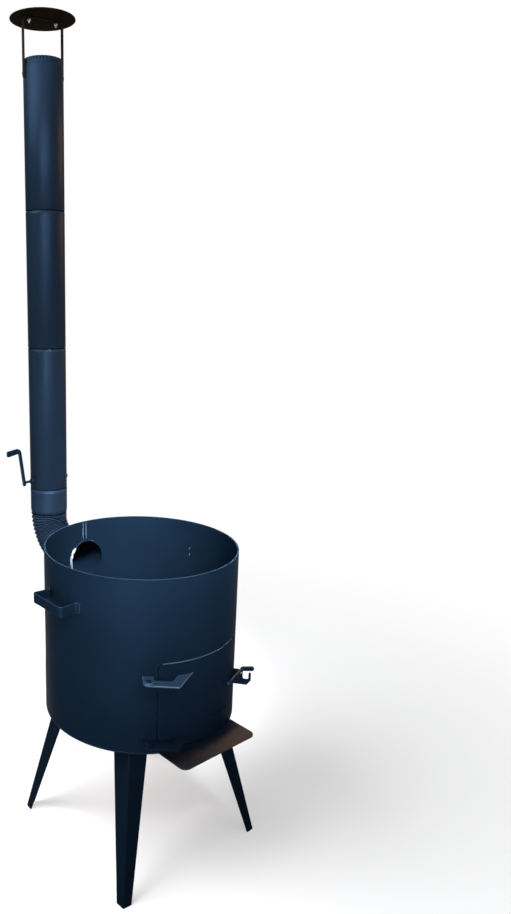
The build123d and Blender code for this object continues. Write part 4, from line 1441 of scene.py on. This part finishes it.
# %% Cap and strap hardware
STRAP_ANGLE = math.radians(-9)
STRAP_OUT = (math.cos(STRAP_ANGLE), math.sin(STRAP_ANGLE), 0)
FLUE_MM = FLUE_Y / MM
CAP_BOLT_AT = 31.0
CAP_HEAD_Z, CAP_NUT_Z = 1722.5, 1715.8
STRAP_BOLT_Z = 1611.8
STRAP_HEAD_R, STRAP_NUT_R = 46.42, 39.2


def strap_at(radius, side, height):
    """A point in the strap's plane, this far from the pipe's axis on one side."""
    return (side * STRAP_OUT[0] * radius, FLUE_MM + side * STRAP_OUT[1] * radius, height)


def strap_way(side):
    """The direction away from the pipe on one side of the strap."""
    return (side * STRAP_OUT[0], side * STRAP_OUT[1], 0)


fasten(
    "cap_bolts",
    "cap_bolts_pan_head",
    screw("cap_bolt", shank_r=2 * MM, length=11.7 * MM, head_r=4 * MM, head_h=2.2 * MM, recess=True),
    zinc_plate,
    [(strap_at(CAP_BOLT_AT, side, CAP_HEAD_Z), UP, 20 * side) for side in SIDES],
)
fasten(
    "cap_nuts",
    "cap_nuts_hex",
    hex_nut("cap_nut", flats=7 * MM, height=3.2 * MM, bore_r=2 * MM),
    zinc_plate,
    [(strap_at(CAP_BOLT_AT, side, CAP_NUT_Z), UP, -9) for side in SIDES],
)
fasten(
    "strap_bolts",
    "strap_bolts_pan_head",
    screw("strap_bolt", shank_r=2 * MM, length=8.8 * MM, head_r=4 * MM, head_h=2.2 * MM, recess=True),
    cap_paint_warm_reflection,
    [(strap_at(STRAP_HEAD_R, side, STRAP_BOLT_Z), strap_way(side), 15) for side in SIDES],
)
fasten(
    "strap_nuts",
    "strap_nuts_hex",
    hex_nut("strap_nut", flats=7 * MM, height=3.2 * MM, bore_r=2 * MM),
    zinc_plate,
    [(strap_at(STRAP_NUT_R, side, STRAP_BOLT_Z), strap_way(side), 90) for side in SIDES],
)

# %% [markdown]
# ## Welds
# Brackets, legs and the drum's own seam are welded and then sprayed over. A weld is a row of
# small puddles that froze one after another, so it is made as one: overlapping balls of slightly
# different sizes along the joint, joined into a single skin by a voxel remesh. Points are in
# millimetres, and azimuths in degrees from the door towards +X.

# %% Helpers for weld beads
PUDDLE = random.Random(7)
PUDDLE_SHAPE = {"segments": 10, "ring_count": 6}
PUDDLE_STEP = 0.9  # in puddle radii, so that neighbours overlap
PUDDLE_DRIFT = 0.12
PUDDLE_SIZES = (0.88, 1.12)
RUN_PARTS = 3


def weld(name, runs, radius, node, material=drum_paint, voxel=0.5 * MM, squash=(1, 1, 1), about=(0, 0, 0)):
    """Weld beads along runs of points in millimetres, flattened towards a point if need be."""
    step = radius * PUDDLE_STEP
    balls = []
    for start, end in runs:
        start, end = Vector(start) * MM, Vector(end) * MM
        count = max(1, round((end - start).length / step))
        for number in range(count + 1):
            jitter = Vector([PUDDLE.uniform(-PUDDLE_DRIFT, PUDDLE_DRIFT) * radius for _ in range(3)])
            ball_r = radius * PUDDLE.uniform(*PUDDLE_SIZES)
            balls.append((start.lerp(end, number / count) + jitter, ball_r))
    bead = start_from(
        bpy.ops.mesh.primitive_uv_sphere_add, **PUDDLE_SHAPE, radius=balls[0][1], location=balls[0][0]
    )
    bead.name = name
    with editing(bead):
        for place, ball_r in balls[1:]:
            bpy.ops.mesh.primitive_uv_sphere_add(**PUDDLE_SHAPE, radius=ball_r, location=place)
        bpy.ops.mesh.select_all(action="SELECT")
        bpy.ops.transform.resize(value=squash, center_override=about)
    modify(bead, "REMESH", mode="VOXEL", voxel_size=voxel)
    modify(bead, "SMOOTH", factor=0.5, iterations=2)
    only(bead)
    bpy.ops.object.shade_smooth()
    ride_with(bead, material, node)
    return bead


def on_wall(radius, azimuth, height):
    """A point on the drum, azimuth in degrees from the door towards +X."""
    a = math.radians(azimuth)
    return (radius * math.sin(a), -radius * math.cos(a), height)


def wall_run(radius, from_azimuth, to_azimuth, height):
    """A run along the drum as short straight pieces."""
    turn = to_azimuth - from_azimuth
    marks = [from_azimuth + turn * i / RUN_PARTS for i in range(RUN_PARTS + 1)]
    return [(on_wall(radius, a, height), on_wall(radius, b, height)) for a, b in zip(marks, marks[1:])]


SKIN = 200
print("the drum's skin is", SKIN, "mm from its axis")

# %% [markdown]
# The brackets are welded along the edges that a torch can reach: the tabs above, the arms above
# and below, and the handles and the catch down both sides of each foot.

# %% Bracket welds
TAB_TOPS, ARM_TOPS, ARM_UNDERSIDES = (460.6, 332.1), (457.2, 328.7), (454.2, 325.7)
TAB_SPAN, ARM_SPAN = (-38.2, -33.8), (-18.4, -10.6)
HANDLE_SIDES, HANDLE_SPAN = (74.6, 76.9, 103.1, 105.4), (569, 585)
CATCH_SIDES, CATCH_SPAN = (37.3, 38.7), (366, 395)

tab_runs = [run for z in TAB_TOPS for run in wall_run(SKIN, *TAB_SPAN, z)]
weld("hinge_tab_welds", tab_runs, 1.3 * MM, "hinge_tab_upper")
arm_runs = [run for z in ARM_TOPS + ARM_UNDERSIDES for run in wall_run(SKIN, *ARM_SPAN, z)]
weld("hinge_arm_welds", arm_runs, 1.1 * MM, "hinge_arm_upper")
for name, sign in (("left", -1), ("right", 1)):
    feet = [[on_wall(SKIN + 0.3, sign * a, height) for height in HANDLE_SPAN] for a in HANDLE_SIDES]
    weld(f"carry_handle_{name}_welds", feet, 1.1 * MM, f"carry_handle_{name}")
catch_runs = [[on_wall(SKIN + 0.2, a, height) for height in CATCH_SPAN] for a in CATCH_SIDES]
weld("latch_catch_welds", catch_runs, 1.2 * MM, "latch_catch")

# %% [markdown]
# The drum's seam runs down its back, outside and inside, and stops short of the flue hole. It is
# wide and low, so its puddles are flattened towards the wall. Inside, the weld's two toes are thin
# lines in the pale edge paint, a painted highlight where the sharp step catches the light. A toe is
# a thin rod with its points moved a little at random.

# %% Drum seam and its toes
SEAM_AZIMUTH = 180
SEAM_LOW, SEAM_HIGH = 302, 648
HOLE_MARGIN = 3
hole_low, hole_high = (HOLE_Z - PIPE_R) / MM - HOLE_MARGIN, (HOLE_Z + PIPE_R) / MM + HOLE_MARGIN
SEAM_SPANS = ((SEAM_LOW, hole_low), (hole_high, SEAM_HIGH))
for name, radius in (("outside", SKIN), ("inside", SKIN - 3)):
    weld(
        f"drum_seam_weld_{name}",
        [[on_wall(radius, SEAM_AZIMUTH, height) for height in span] for span in SEAM_SPANS],
        2.6 * MM,
        "drum_shell",
        voxel=0.6 * MM,
        squash=(1, 0.3, 1),
        about=(0, radius * MM, 0),
    )
TOE_X, TOE_Y = 4, SKIN - 3.2
TOE_R, TOE_UNEVEN = 0.6 * MM, 0.2 * MM
TOE_PIECE = 3 * MM
toes = []
for side in SIDES:
    for low, high in SEAM_SPANS:
        low_end, high_end = (Vector((side * TOE_X, TOE_Y, height)) * MM for height in (low, high))
        length = high_end.z - low_end.z
        bpy.ops.object.select_all(action="DESELECT")
        bpy.ops.mesh.primitive_cylinder_add(
            vertices=8, radius=TOE_R, depth=length, location=(low_end + high_end) / 2
        )
        toe = bpy.context.object
        with editing(toe):
            pick(toe, "EDGE", lambda middle, edge: abs(edge.verts[0].co.z - edge.verts[1].co.z) > TOE_R)
            bpy.ops.mesh.subdivide(number_cuts=round(length / TOE_PIECE))
            pick(toe, "VERT", lambda middle, vertex: True)
            bpy.ops.transform.vertex_random(offset=TOE_UNEVEN, seed=5)
        settle(toe)
        toes.append(toe)
only(*toes)
bpy.ops.object.join()
toe_lines = bpy.context.object
toe_lines.name = "drum_seam_toes_inside"
bpy.ops.object.shade_smooth_by_angle(angle=math.radians(60))
# the toes' pale paint is a painted highlight
ride_with(toe_lines, worn_edge_and_highlight, "drum_shell")
print("toe lines", len(toe_lines.data.polygons), "faces")

# %% [markdown]
# Each leg is welded to the floor plate along its two flanges, under the edge of the drum. The
# left legs' corners are mirrored for the right ones.

# %% Leg welds
LEG_WELD_Z = 296.4
LEG_TOPS = {
    "leg_front_left": ((-129.8, -81), (-128.3, -121), (-123.5, -125.2), (-86, -127.6)),
    "leg_rear_left": ((-124.4, 90), (-120.3, 129), (-116, 133.2), (-77, 133.0)),
}
for leg, (a, b, c, d) in LEG_TOPS.items():
    for side in SIDES:
        name = leg if side < 0 else leg.replace("left", "right")
        corners = [(-side * x, y, LEG_WELD_Z) for x, y in (a, b, c, d)]
        flanges = [(corners[0], corners[1]), (corners[2], corners[3])]
        weld(f"{name}_weld", flanges, 1.6 * MM, name, voxel=0.6 * MM)

# %% [markdown]
# Where the rear foot of each handle was welded outside, the heat came through and left two small
# pale marks on the inside of the drum: short upright drops, hardly raised, in the thin paint's
# colour. They are made as tiny welds.

# %% Burn-through marks inside
BURN_AZIMUTH = 104.7
BURN_STARTS, BURN_LENGTH = (570, 585), 4
spots = [
    [on_wall(SKIN - 2.6, side * BURN_AZIMUTH, height) for height in (start, start + BURN_LENGTH)]
    for side in SIDES
    for start in BURN_STARTS
]
marks = weld("weld_burn_marks", spots, 1.0 * MM, "drum_shell", worn_edge_and_highlight, voxel=0.4 * MM)
print("burn marks", len(marks.data.polygons), "faces")
